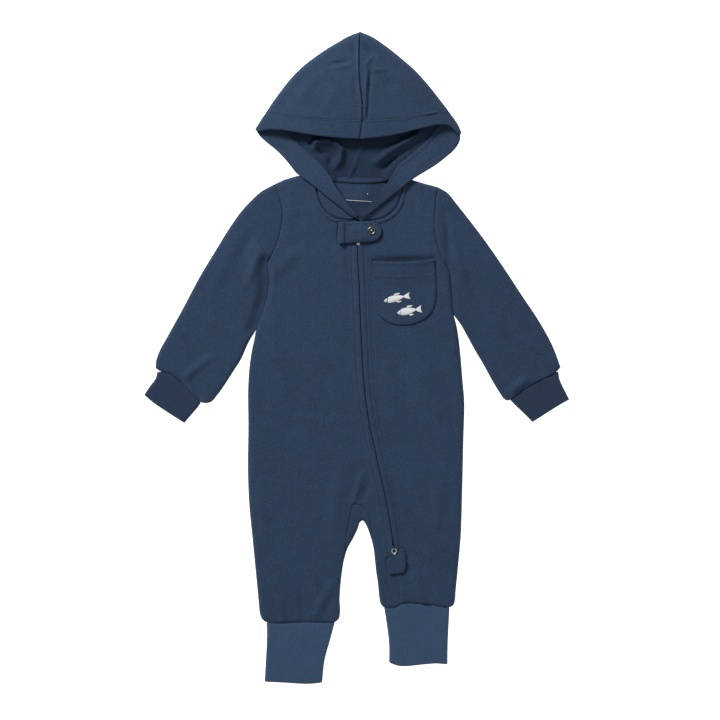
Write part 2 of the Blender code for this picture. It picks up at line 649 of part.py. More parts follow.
def pouch(name, runs, faces_at, form, extra=(), spacing=22.0):
    """A flattened hollow piece: two layers joined along its rims and open along its other edges.

    runs holds (points, is_rim) in order round the outline. faces_at gives the heights of both
    layers' faces at a distance from the rims.
    """
    rims = [np.array(points, float) for points, is_rim in runs if is_rim]
    outline, on_rim = [], []
    for points, is_rim in runs:
        for i, p in enumerate(np.array(points, float)):
            end = i in (0, len(points) - 1)
            if outline and np.linalg.norm(p - outline[-1]) < SAME:
                on_rim[-1] |= is_rim
                continue
            outline.append(p)
            on_rim.append(is_rim or (end and nearest([p], rims)[0] < SAME))
    if np.linalg.norm(outline[0] - outline[-1]) < SAME:
        outline.pop()
        on_rim[0] |= on_rim.pop()
    outline, on_rim = np.array(outline), np.array(on_rim)
    moved = inset(outline, on_rim, form.cloth)
    if len(extra):
        extra = extra[nearest(extra, rims) > form.cloth + CLEAR]
    points, triangles = filled(outline, extra, spacing)
    count = len(outline)
    flat = [t for t in triangles if all(i < count and on_rim[i] for i in t)]
    if flat:
        middles = [points[list(t)].mean(0) for t in flat]
        points, triangles = filled(outline, np.vstack([points[count:], middles]), 1e6)
    d = nearest(points, rims)
    within = np.vstack([moved, points[count:]])
    d_in = np.maximum(nearest(within, rims), form.cloth)
    d_in[:count][on_rim] = form.cloth
    d[:count][on_rim] = 0
    top, _, _, low = faces_at(points, d)
    _, under, over, _ = faces_at(within, d_in)
    bm = bmesh.new()
    layers = []
    for plan, upper, lower in ((points, top, low), (within, under, over)):
        above = [bm.verts.new((*p, z)) for p, z in zip(plan, upper)]
        below = list(above)
        for i in range(len(plan)):
            if i >= count or not on_rim[i]:
                below[i] = bm.verts.new((*plan[i], lower[i]))
        layers.append((above, below))
    uses = set()
    for t in triangles:
        for above, below in layers:
            bm.faces.new([above[i] for i in t])
            bm.faces.new([below[i] for i in reversed(t)])
        uses.update(zip(t, [*t[1:], t[0]]))
    for a, b in uses:
        if (b, a) not in uses and not (on_rim[a] and on_rim[b]):
            for side in (0, 1):
                outer, inner = layers[0][side], layers[1][side]
                ring = [outer[a], outer[b], inner[b], inner[a]]
                bm.faces.new(ring if side else ring[::-1])
    return add(name, bm, form.kind)


def inset(outline, on_rim, amount):
    """The outline with its rim points moved inwards, and an end of a rim moved along the open edge."""
    moved = outline.copy()
    count = len(outline)
    area = np.sum(outline[:, 0] * np.roll(outline[:, 1], -1) - np.roll(outline[:, 0], -1) * outline[:, 1])
    for i in range(count):
        if not on_rim[i]:
            continue
        before, after = (i - 1) % count, (i + 1) % count
        start = before if on_rim[before] else i
        end = after if on_rim[after] else i
        step = (outline[end] - outline[start]) * (1 if area > 0 else -1)
        inward = np.array([-step[1], step[0]]) / np.linalg.norm(step)
        move = inward
        if i in (start, end):
            cut = outline[after if end == i else before] - outline[i]
            cut /= np.linalg.norm(cut)
            if cut @ inward > 0.5:
                move = cut / (cut @ inward)
        moved[i] = outline[i] + move * amount
    return moved


def loft(name, outer, inner, kind="jersey"):
    """A wall between two skins, each an array of rows of points."""
    bm = bmesh.new()
    skin, lining = [[[bm.verts.new(tuple(p)) for p in row] for row in layer] for layer in (outer, inner)]
    rows, count = len(outer), len(outer[0])
    for layer in (skin, lining):
        for r in range(rows - 1):
            for i in range(count - 1):
                bm.faces.new([layer[r][i], layer[r][i + 1], layer[r + 1][i + 1], layer[r + 1][i]])
    for r in (0, -1):
        for i in range(count - 1):
            bm.faces.new([skin[r][i], skin[r][i + 1], lining[r][i + 1], lining[r][i]])
    for i in (0, -1):
        for r in range(rows - 1):
            bm.faces.new([skin[r][i], skin[r + 1][i], lining[r + 1][i], lining[r][i]])
    return add(name, bm, kind)


def thickened(middle, cloth):
    """The two skins of a wall on either side of a grid of points."""
    middle = np.array(middle, float)
    normal = np.cross(np.gradient(middle, axis=0), np.gradient(middle, axis=1))
    normal /= np.linalg.norm(normal, axis=2)[:, :, None]
    return middle + normal * cloth / 2, middle - normal * cloth / 2


def rolled_points(lines, steps):
    """Extra points beside rolled edges and round their ends, so that the mesh follows the rounding."""
    turns = np.linspace(0, 2 * np.pi, 10, endpoint=False)
    fan = np.stack([np.cos(turns), np.sin(turns)], axis=1)
    rows = [shifted(line, s * step)[1:-1] for line in lines for step in steps for s in (-1, 1)]
    ends = [np.array(line[end], float) + step * fan for line in lines for step in steps for end in (0, -1)]
    return np.vstack([*rows, *ends])


# ---------------------------------------------------------------- body


def zip_gap(points):
    """Half of the gap between the fronts along the zip."""
    sliders = [np.linalg.norm(points - np.array(s), axis=1) for s in (TOP_SLIDER, LOW_SLIDER)]
    open_up = np.maximum(*(fade((d - SLIDER_LENGTH / 2) / SLIDER_SPREAD) for d in sliders))
    shut = fade((points[:, 1] - ZIP_END_Y) / 8)
    return ZIP_GAP + (SLIDER_GAP - ZIP_GAP) * open_up - (ZIP_GAP - HALF_SEAM) * shut


def zip_edge(sign):
    line = smooth(ZIP_LINE, 11)
    return shifted(line, sign * zip_gap(line))


def leg_end_before(point):
    """The left leg's end from the inseam to the seam below the zip."""
    line = shifted(seam_points(LEFT.leg_end), HALF_SEAM)
    return line[line[:, 0] < point[0] - 1]


def leg_end_after(point):
    """The left leg's end from the seam below the zip to the side seam."""
    line = shifted(seam_points(LEFT.leg_end), HALF_SEAM)
    return line[line[:, 0] > point[0] + 1]


def crotch_runs():
    """Edge of the fronts and the back along both inseams and the gusset's seam."""
    seam = shifted(seam_points(gusset_seam()), -HALF_SEAM)
    right, left = inseam_line(RIGHT), inseam_line(LEFT)
    right = right[right[:, 1] < seam[-1][1] - 1]
    left = left[left[:, 1] < seam[0][1] - 1]
    return [right[::-1], seam[::-1], left]


def fronts():
    extra = rolled_points(BODY_EDGES, (CLOTH, BODY_ROLL))
    beside_zip = [shifted(smooth(ZIP_LINE, 12), s * d) for s in (-1, 1) for d in (8.5, 12)]
    beside_neck = [shifted(line, s * 4.5) for line in NECK_EDGES for s in (-1, 1)]
    extra = np.vstack([extra, *beside_zip, *beside_neck])
    right = [
        shifted(NECK_FRONT_RIGHT, HALF_SEAM),
        np.array(RIGHT.shoulder, float),
        shifted(seam_points(RIGHT.armhole), HALF_SEAM),
        shifted(side_line(RIGHT), HALF_SEAM),
        shifted(seam_points(RIGHT.leg_end), HALF_SEAM),
        *crotch_runs(),
        leg_end_before(ZIP_LINE[-1]),
        zip_edge(-1)[::-1],
    ]
    right[0] = right[0][right[0][:, 0] < 0]
    panel("front_right", np.vstack(right), front_faces, extra=extra)
    left = [
        leg_end_after(ZIP_LINE[-1]),
        shifted(side_line(LEFT)[::-1], HALF_SEAM),
        shifted(seam_points(LEFT.armhole)[::-1], HALF_SEAM),
        np.array(LEFT.shoulder, float)[::-1],
        shifted(NECK_FRONT_LEFT[::-1], HALF_SEAM),
        zip_edge(1),
    ]
    left[4] = left[4][left[4][:, 0] > 2]
    panel("front_left", np.vstack(left), front_faces, extra=extra)


def back():
    runs = [
        shifted(NECK_BACK, HALF_SEAM),
        np.array(RIGHT.shoulder, float),
        shifted(seam_points(RIGHT.armhole), HALF_SEAM),
        shifted(side_line(RIGHT), HALF_SEAM),
        shifted(seam_points(RIGHT.leg_end), HALF_SEAM),
        *crotch_runs(),
        shifted(seam_points(LEFT.leg_end), HALF_SEAM),
        shifted(side_line(LEFT)[::-1], HALF_SEAM),
        shifted(seam_points(LEFT.armhole)[::-1], HALF_SEAM),
        np.array(LEFT.shoulder, float)[::-1],
    ]
    extra = rolled_points(BODY_EDGES, (CLOTH, BODY_ROLL))
    panel("back", np.vstack(runs), back_faces, extra=extra, spacing=30.0)


def gusset_seam():
    """Seam of the gusset on the front and the back, from the wearer's left leg to the right leg."""
    return np.vstack([LEFT.gusset[::-1], RIGHT.gusset[1:]]).astype(float)


def crotch_gusset():
    """Gusset folded over the crotch, with its seams on the front and on the back."""
    seam = shifted(seam_points(gusset_seam()), HALF_SEAM)
    right = inseam_line(RIGHT)
    left = inseam_line(LEFT)
    rim = np.vstack([right[right[:, 1] > seam[-1][1]][::-1], left[left[:, 1] > seam[0][1]][1:]])

    def faces_at(points, d):
        return skins(d, BODY_HEIGHT, CLOTH, BODY_ROLL, BODY_MIDDLE)

    pouch("crotch_gusset", [(seam, False), (rim, True)], faces_at, SLEEVE_FORM, spacing=8.0)


# ---------------------------------------------------------------- tubes


def tube(name, near_end, outer, far_end, inner, form, folds=()):
    """A flattened tube between its two open ends, each edge given from the body outwards."""

    def faces_at(points, d):
        top, under, over, low = skins(d, form.height, form.cloth, form.roll, form.middle)
        lift = folded(points, folds) * rise(d / (2 * form.roll))
        return top + lift, under + lift, over, low

    runs = [(near_end[::-1], False), (outer, True), (far_end, False), (inner[::-1], True)]
    extra = rolled_points([outer, inner], (form.cloth + 0.9, form.roll + 0.5))
    pouch(name, runs, faces_at, form, extra)


def sleeves():
    for side in (RIGHT, LEFT):
        sign = -1 if side is RIGHT else 1
        armhole = shifted(seam_points(side.armhole), sign * HALF_SEAM)
        end = shifted(seam_points(side.sleeve_end), -sign * HALF_SEAM)
        outer = smooth([(r.outer_x, r.outer_y) for r in side.sleeve], 20)
        outer[0] = armhole[0]
        outer[-1] = end[0]
        body = contact(side)
        free = smooth([(r.inner_x, r.inner_y) for r in side.sleeve[len(body) - 1 :]], 16)
        inner = shifted(np.vstack([body[:-1], free]), sign * HALF_SEAM)
        inner[0] = armhole[-1]
        inner[-1] = end[-1]
        tube(f"sleeve_{side.name}", armhole, outer, end, inner, SLEEVE_FORM, SLEEVE_FOLDS)


def cuffs():
    for side in (RIGHT, LEFT):
        sign = -1 if side is RIGHT else 1
        for name, seam, rows, hem, turn in (
            (f"sleeve_cuff_{side.name}", side.sleeve_end, side.cuff, side.cuff_hem, sign),
            (f"leg_cuff_{side.name}", side.leg_end, side.leg_cuff, side.leg_hem, -1),
        ):
            seam = shifted(seam, turn * HALF_SEAM)
            outer = smooth([(r.left_x, r.left_y) for r in rows], 20)
            inner = smooth([(r.right_x, r.right_y) for r in rows], 20)
            gaps = [np.linalg.norm(seam - line[0], axis=1) for line in (outer, inner)]
            seam = seam[int(np.argmin(gaps[0])) + 1 : int(np.argmin(gaps[1]))]
            seam = seam_points(np.vstack([outer[:1], seam, inner[:1]]))
            tube(name, seam, outer, seam_points(hem), inner, CUFF_FORM)


# ---------------------------------------------------------------- hood


def hood_column(column, seam_shift, centre_weight):
    """Outer and inner points of one column of the hood, from the hem over the rim to the back layer."""
    rim = np.array([column.rim_x + seam_shift, column.rim_y])
    upper_end = np.array([column.hem_x + seam_shift, column.hem_y + HALF_SEAM])
    lower_end = np.array([column.low_x + seam_shift, column.low_y + HALF_SEAM])
    skin, lining = [], []
    for free, seam, upper in ((upper_end, HOOD_TOP_SEAM[::-1], True), (lower_end, HOOD_BACK_SEAM, False)):
        length = np.linalg.norm(free - rim)
        depths = np.array([*(d for d in HOOD_DEPTHS if d < length - 0.5), length])
        depths = np.interp(np.linspace(0, len(depths) - 1, len(HOOD_DEPTHS) + 1), range(len(depths)), depths)
        for side, least in ((skin, 0.0), (lining, CLOTH)):
            shares = np.maximum(depths, least) / length
            p = rim + shares[:, None] * (free - rim)
            curve = along(smooth(seam), shares)
            chord = curve[0] + shares[:, None] * (np.array(seam[-1], float) - seam[0])
            p[:, 0] += centre_weight * (curve - chord)[:, 0]
            d = np.where(depths <= least, least, distance(p, HOOD_OUTLINE))
            top, under, over, low = skins(d, hood_height(p), CLOTH, HOOD_ROLL, HOOD_MIDDLE)
            if upper:
                z = (under if least else top) + folded(p, HOOD_FOLDS) * rise(d / (3 * HOOD_ROLL))
            else:
                z = (over if least else low) + folded(p, HOOD_BACK_FOLDS) * rise(d / (3 * HOOD_ROLL))
            points = np.column_stack([p, z])
            side.append(points[::-1] if upper else points[1:])
    return np.vstack(skin), np.vstack(lining)


def hood_halves():
    for name, columns, sign in (("hood_right", HOOD_RIGHT, -1), ("hood_left", HOOD_LEFT, 1)):
        rows = [
            hood_column(c, sign * HALF_SEAM if k == 0 else 0.0, max(0.0, 1 - k / SEAM_REACH) ** 2)
            for k, c in enumerate(columns)
        ]
        loft(name, [skin for skin, _ in rows], [lining for _, lining in rows])


def hood_hem(name, top, corner, low, sign, cloth=HEM, across=4):
    """Hem of one half of the face opening, as a ribbon from the top centre round the corner to the zip."""
    free_line = [[r.free_x, r.free_y] for r in top]
    seam_line = [[r.seam_x, r.seam_y] for r in top]
    shares = np.linspace(0, 1, across)[:, None]
    rows = []
    for f, s in zip(free_line, seam_line):
        p = np.array(f) + shares * (np.array(s, float) - f)
        rows.append(np.column_stack([p, hood_height(p) - cloth / 2]))
    free, seam = (np.array(p, float) for p in corner)
    across_corner = (seam - free) / np.linalg.norm(seam - free)
    inward = np.array([across_corner[1], -across_corner[0]]) * -sign
    radius = HOOD_MIDDLE - cloth / 2
    for angle in (80, 45, 0, -45, -90):
        inset = cloth / 2 + radius * (1 - cos(radians(angle)))
        p = free + shares * (seam - free) + inward * inset
        rows.append(np.column_stack([p, np.full(across, HOOD_MIDDLE + radius * sin(radians(angle)))]))
    for r in low:
        p = np.array([r.free_x, r.free_y]) + shares * np.array([r.seam_x - r.free_x, r.seam_y - r.free_y])
        z = r.free_lift + shares[:, 0] * (r.seam_lift - r.free_lift) + cloth / 2
        rows.append(np.column_stack([p, z]))
    rows = np.array(rows)
    rows[0, :, 0] += sign * HALF_SEAM
    across_row = rows[:, -1, :2] - rows[:, 0, :2]
    rows[:, -1, :2] -= across_row / np.linalg.norm(across_row, axis=1)[:, None] * 2 * SEAM
    outer, inner = thickened(rows, cloth)
    loft(name, outer, inner)


def hood_corner(name, table, across=4):
    """Front corner of the hood between the neck seam and the roll of the hem."""
    shares = np.linspace(0, 1, across)[:, None]
    rows = []
    for r in table:
        neck, roll = np.array([r.neck_x, r.neck_y]), np.array([r.roll_x, r.roll_y])
        p = neck + (CORNER_START + (1 - CORNER_START) * shares) * (roll - neck)
        z = r.neck_z - CLOTH / 2 + shares[:, 0] * (r.roll_z - r.neck_z)
        rows.append(np.column_stack([p, z]))
    outer, inner = thickened(rows, CLOTH)
    loft(name, outer, inner)


def neck_tape():
    middle = smooth(NECK_TAPE, 12)
    profile = [(-0.5, 1.8), (-0.5, 2.4), (-0.22, 3.1), (0.22, 3.1), (0.5, 2.4), (0.5, 1.8)]
    ribbon(middle, [(u * NECK_TAPE_WIDTH, z) for u, z in profile], "back_neck_tape")


def ribbon(middle, profile, name, kind="jersey"):
    """A bar along a plan line, with a closed profile of offsets and heights."""
    bm = bmesh.new()
    rings = [
        [bm.verts.new((*p, z)) for p, (_, z) in zip(points, profile)]
        for points in zip(*(shifted(middle, offset) for offset, _ in profile))
    ]
    count = len(profile)
    for row, after in zip(rings, rings[1:]):
        for i in range(count):
            j = (i + 1) % count
            bm.faces.new([row[i], row[j], after[j], after[i]])
    bm.faces.new(rings[0])
    bm.faces.new(rings[-1][::-1])
    return add(name, bm, kind)


# ---------------------------------------------------------------- pieces on the front


def zip_chain():
    line = between(smooth(ZIP_LINE, 12), TAPE_TOP_Y, TAPE_BOTTOM_Y)
    under, top = TAPE_TOP - TAPE, TAPE_TOP
    profile = [
        (-TAPE_HALF, under), (-TAPE_HALF, top), (-COIL_HALF, top), (-COIL_HALF, COIL_TOP),
        (COIL_HALF, COIL_TOP), (COIL_HALF, top), (TAPE_HALF, top), (TAPE_HALF, under),
    ]
    ribbon(line, profile, "zip_chain", "tape")


def pocket():
    outline = np.array(POCKET, float)
    mouth = np.array([POCKET[0], *POCKET[:-4:-1], POCKET[-4]], float)

    def faces_at(points):
        base = front_faces(points)[0]
        depth = distance(points, mouth)
        sides = rise(distance(points, outline[:15]) / 22)
        gape = POCKET_GAPE * fade(depth / 34) * sides
        cloth = CLOTH + 0.9 * fade((depth - POCKET_HEM + 1) / 1.5)
        under = base + SEAM + gape
        return under + cloth, under

    rows = np.vstack([shifted(mouth, s * d) for s in (-1, 1) for d in (5, POCKET_HEM - 1, POCKET_HEM + 1.5)])
    panel("pocket", outline, faces_at, extra=rows, spacing=11.0)


def guard_faces(points):
    """Top and underside of the chin guard, which bulges over the slider below it."""
    near = np.linalg.norm(points - np.array(TOP_SLIDER), axis=1)
    under = BODY_HEIGHT + ZIP_RIDGE + SEAM + GUARD_BULGE * fade((near - 4.8) / 4.8)
    folded_end = fade((points[:, 0] - CHIN_FOLD_X + 0.8) / 1.2)
    rim = nearest(points, [np.vstack([CHIN_GUARD, CHIN_GUARD[:1]])])
    top = under + HEM + 0.9 * folded_end - 0.5 * (1 - rise(rim / 2))
    return top, under


def chin_guard():
    outline = np.array(CHIN_GUARD, float)
    closed = np.vstack([outline, outline[:1]])
    rows = [shifted(closed, s * 2.2) for s in (-1, 1)]
    height = np.linspace(134, 154, 5)
    fold = [np.column_stack([np.full(5, CHIN_FOLD_X + dx), height]) for dx in (-1.4, 0.8)]
    turns = np.linspace(0, 2 * np.pi, 12, endpoint=False)
    bulge = [(TOP_SLIDER.x + r * cos(a), TOP_SLIDER.y + r * sin(a)) for r in (4.8, 9.6) for a in turns]
    panel("chin_guard", outline, guard_faces, extra=np.vstack([*rows, *fold, bulge]), spacing=7.0)


def snap_ring():
    seat = float(guard_faces(np.array([[SNAP.x, SNAP.y]]))[0][0]) + SEAM
    outer, inner, z = SNAP_OUTER, SNAP_INNER, SNAP_HEIGHT
    profile = [(inner, 0), (outer, 0), (outer, 0.5 * z), (outer - 0.5, z), (inner + 0.4, z), (inner, 0.6 * z)]
    bm = bmesh.new()
    steps = 20
    rings = [
        [bm.verts.new((SNAP.x + r * cos(a), SNAP.y + r * sin(a), seat + h)) for r, h in profile]
        for a in np.linspace(0, 2 * np.pi, steps, endpoint=False)
    ]
    for row, after in zip(rings, [*rings[1:], rings[0]]):
        for i in range(len(profile)):
            j = (i + 1) % len(profile)
            bm.faces.new([row[i], row[j], after[j], after[i]])
    add("snap_ring", bm, "metal")


def flat_piece(name, outline, seat, cloth, kind, spacing, rim=0.6):
    """A level piece on what lies below it, with a slightly softened rim."""
    outline = np.array(outline, float)
    closed = np.vstack([outline, outline[:1]])

    def faces_at(points):
        under = seat(points)
        soft = rim * (1 - rise(distance(points, closed) / 1.8))
        return under + cloth - soft, under

    extra = np.vstack([shifted(closed, s * 1.8) for s in (-1, 1)])
    return panel(name, outline, faces_at, kind, extra=extra, spacing=spacing)


def zip_patch():
    seat = BODY_HEIGHT + ZIP_RIDGE + SEAM
    flat_piece("zip_patch", ZIP_PATCH, lambda p: np.full(len(p), seat), PATCH, "jersey", 6.0)


def neck_label():
    flat_piece("neck_label", LABEL, lambda p: np.full(len(p), CLOTH + SEAM), 0.5, "label", 12.0, rim=0.0)


def placed(bm, centre, heading):
    """Turns a piece made along -Y so that it points along the heading, and moves it to its centre."""
    angle = np.arctan2(heading[0], -heading[1])
    turn = [(cos(angle), -sin(angle)), (sin(angle), cos(angle))]
    for v in bm.verts:
        x, y = v.co.x, v.co.y
        v.co.x = centre[0] + turn[0][0] * x + turn[0][1] * y
        v.co.y = centre[1] + turn[1][0] * x + turn[1][1] * y


def heading_at(point):
    """Direction of the zip line, towards the foot, at the knot nearest to a point."""
    line = smooth(ZIP_LINE, 3)
    i = int(np.argmin(np.linalg.norm(line - np.array(point), axis=1)))
    i = min(max(i, 1), len(line) - 2)
    step = line[i + 1] - line[i - 1]
    return step / np.linalg.norm(step)


def prism(bm, outline, low, high):
    """Adds a closed prism over a plan outline."""
    lower = [bm.verts.new((x, y, low)) for x, y in outline]
    upper = [bm.verts.new((x, y, high)) for x, y in outline]
    bm.faces.new(lower[::-1])
    bm.faces.new(upper)
    for i in range(len(outline)):
        j = (i + 1) % len(outline)
        bm.faces.new([lower[i], lower[j], upper[j], upper[i]])


def slider_body(bm):
    """Body of the slider, narrower at both ends."""
    half, length = SLIDER_WIDTH / 2, SLIDER_LENGTH / 2
    plan = [
        (-half * 0.72, -length), (half * 0.72, -length), (half, -length * 0.4), (half, length * 0.55),
        (half * 0.62, length), (-half * 0.62, length), (-half, length * 0.55), (-half, -length * 0.4),
    ]
    prism(bm, plan, SLIDER_BASE, SLIDER_TOP)


def bridge(bm):
    """The slider's bridge: an arch along the zip with the pull's bar under it."""
    sunk = SLIDER_TOP - 0.5
    top = BAIL_CLEAR + BAIL
    leg = BAIL_HALF - BAIL
    arch = [
        (-BAIL_HALF, sunk), (-BAIL_HALF, BAIL_CLEAR), (0.9 - BAIL_HALF, top), (BAIL_HALF - 0.9, top),
        (BAIL_HALF, BAIL_CLEAR), (BAIL_HALF, sunk), (leg, sunk), (leg, BAIL_CLEAR - 0.3),
        (leg - 0.5, BAIL_CLEAR), (0.5 - leg, BAIL_CLEAR), (-leg, BAIL_CLEAR - 0.3), (-leg, sunk),
    ]
    sides = [[bm.verts.new((x, y, z)) for y, z in arch] for x in (-BAIL_WIDTH / 2, BAIL_WIDTH / 2)]
    bm.faces.new(sides[0])
    bm.faces.new(sides[1][::-1])
    for i in range(len(arch)):
        j = (i + 1) % len(arch)
        bm.faces.new([sides[0][i], sides[0][j], sides[1][j], sides[1][i]])


def joined(name, first, second):
    """Union of a finished piece with a second one, which is kept only as a guide."""
    second.hide_render = True
    second.display_type = "WIRE"
    union = first.modifiers.new("join", "BOOLEAN")
    union.operation = "UNION"
    union.object = second
    return first


def slider(name, centre, with_bridge):
    heading = heading_at(centre)
    bm = bmesh.new()
    slider_body(bm)
    placed(bm, centre, heading)
    body = add(name, bm, "metal")
    if with_bridge:
        bm = bmesh.new()
        bridge(bm)
        placed(bm, centre, heading)
        joined(name, body, add(f"{name}_bridge_guide", bm, "metal"))
    return body


def zip_pull():
    """Small pull: an eye round the bridge and a short stem, pivoting on the eye's bar."""
    heading = heading_at(LOW_SLIDER)
    bm = bmesh.new()
    steps = 16
    middle = (EYE_OUTER + EYE_INNER) / 2
    turns = np.linspace(0, 2 * np.pi, steps, endpoint=False) + np.pi / steps
    eye_y = -middle
    rings = []
    half = PULL / 2
    section = [(EYE_INNER, -half), (EYE_OUTER, -half), (EYE_OUTER, half), (EYE_INNER, half)]
    for a in turns:
        rings.append([bm.verts.new((r * cos(a), eye_y + r * sin(a), PULL_Z + z)) for r, z in section])
    for row, after in zip(rings, [*rings[1:], rings[0]]):
        for i in range(4):
            j = (i + 1) % 4
            bm.faces.new([row[i], row[j], after[j], after[i]])
    placed(bm, LOW_SLIDER, heading)
    pivot = (*LOW_SLIDER, PULL_Z)
    ring = add("zip_pull", bm, "metal", pivot)
    bm = bmesh.new()
    start = eye_y - EYE_INNER - 0.5
    end = eye_y - PULL_STEM
    w = PULL_STEM_HALF
    stem = [(-w, start), (-w, end + 0.6), (-w * 0.5, end), (w * 0.5, end), (w, end + 0.6), (w, start)]
    prism(bm, stem, PULL_Z - PULL * 0.46, PULL_Z + PULL * 0.46)
    placed(bm, LOW_SLIDER, heading)
    return joined("zip_pull", ring, add("zip_pull_stem_guide", bm, "metal", pivot))


def main():
    for old in list(bpy.data.objects):
        bpy.data.objects.remove(old)
    fronts()
    back()
    crotch_gusset()
    sleeves()
    cuffs()
    hood_halves()
    hood_hem("hood_hem_right", HEM_TOP_RIGHT, HEM_CORNER_RIGHT, HEM_LOW_RIGHT, -1)
    hood_hem("hood_hem_left", HEM_TOP_LEFT, HEM_CORNER_LEFT, HEM_LOW_LEFT, 1)
    hood_corner("hood_corner_right", CORNER_RIGHT)
    hood_corner("hood_corner_left", CORNER_LEFT)
    neck_tape()
    neck_label()
    zip_chain()
    pocket()
    chin_guard()
    snap_ring()
    zip_patch()
    slider("zip_slider_top", TOP_SLIDER, with_bridge=False)
    slider("zip_slider_low", LOW_SLIDER, with_bridge=True)
    zip_pull()


main()
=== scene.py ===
"""Looks of a baby's hooded zip romper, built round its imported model.

Tables and mesh points are in millimetres in the model's frame: the garment lies on z = 0 with the hood at
+Y and the front facing +Z, so the wearer's right side is at -X. make() turns them into metres.
"""

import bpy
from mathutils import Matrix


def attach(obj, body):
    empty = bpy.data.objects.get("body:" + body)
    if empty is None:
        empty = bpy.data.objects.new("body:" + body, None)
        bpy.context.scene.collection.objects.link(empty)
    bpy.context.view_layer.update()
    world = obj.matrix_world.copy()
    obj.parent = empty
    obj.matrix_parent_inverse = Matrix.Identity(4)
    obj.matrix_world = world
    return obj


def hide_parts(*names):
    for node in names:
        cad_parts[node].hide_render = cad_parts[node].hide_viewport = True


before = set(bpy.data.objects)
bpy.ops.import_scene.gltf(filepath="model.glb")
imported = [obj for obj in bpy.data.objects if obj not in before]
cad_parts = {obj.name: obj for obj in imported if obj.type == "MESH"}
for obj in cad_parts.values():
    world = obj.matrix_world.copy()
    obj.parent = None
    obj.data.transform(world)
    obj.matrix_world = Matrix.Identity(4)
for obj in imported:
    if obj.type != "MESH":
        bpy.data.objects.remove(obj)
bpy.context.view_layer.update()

from collections import namedtuple
from math import cos, pi, radians, sin, tau

import bmesh
import bpy
import numpy as np
from mathutils import Vector, noise
from mathutils.geometry import delaunay_2d_cdt

bl_info = {
    "name": "Hooded Zip Romper",
    "version": (1, 0, 0),
    "blender": (4, 5, 0),
    "location": "3D View > Sidebar > Romper",
    "description": "Builds the cloth, zip, stitching and studio of a baby's hooded romper laid out flat",
    "category": "Object",
}

MM = 0.001
Form = namedtuple("Form", "cloth height roll middle")
Point = namedtuple("Point", "x y")
Side = namedtuple(
    "Side", "name armhole sleeve sleeve_end cuff cuff_hem shoulder side inseam gusset leg_end leg_cuff leg_hem"
)

# Cloth and seams
CLOTH = 1.5  # sweatshirt jersey
RIB = 2.1  # cuff rib, folded double
HEM = 2.4  # turned hem of the hood, two layers of jersey
SEAM = 0.3  # clearance under a piece that lies on another
HALF_SEAM = -0.03  # half of the gap at a seam: below 0 the sewn edges lap, so that no light comes through
HEM_LAP = 0.35  # lap of the hem's seam edge into the hood, where the two are sewn
ZIP_GAP = 0.5  # half of the slot between the fronts

# Heights over the paper: the outer face, the level at which two layers meet at an edge, and the width over
# which the cloth rolls over that edge
BODY_HEIGHT, BODY_MIDDLE, BODY_ROLL = 6.6, 3.2, 5.5
CUFF_HEIGHT, CUFF_MIDDLE, CUFF_ROLL = 5.4, 2.7, 4.0
HOOD_MIDDLE, HOOD_ROLL = 3.8, 6.0
HOOD_EDGE, HOOD_CROWN = 7.6, 9.4  # height near the rim, and its further rise towards the middle
HOOD_SLOPE = 85.0  # how far in from the rim that rise ends
SEWN_LIFT = 5.5  # the most that the hood's back layer rises to the seam of the hem
CORNER_FALL = 3.2  # drop of the hood's front corners where they pass under the lapel
BODY_FORM = Form(CLOTH, BODY_HEIGHT, BODY_ROLL, BODY_MIDDLE)
CUFF_FORM = Form(RIB, CUFF_HEIGHT, CUFF_ROLL, CUFF_MIDDLE)
HOOD_FORM = Form(CLOTH, 0, HOOD_ROLL, HOOD_MIDDLE)

# Grooves as width and depth, and how far rows of topstitching lie from their edges
SEAM_GROOVE = (2.4, 1.5)
NECK_GROOVE = (2.0, 1.3)
ZIP_INSET, NECK_INSET, HOOD_INSET, HEM_INSET, PATCH_INSET, POCKET_INSET = 7.5, 5.2, 4.4, 2.6, 2.3, 2.0

# Zip tape: half of its width, its thickness, the height of its top face, and both ends along Y
TAPE_HALF, TAPE, TAPE_TOP = 7.4, 0.6, 5.5
TAPE_TOP_Y, TAPE_BOTTOM_Y = 157.0, -238.0

LAID = None  # in a row of the hem's tables: the lift follows the hood's upper layer

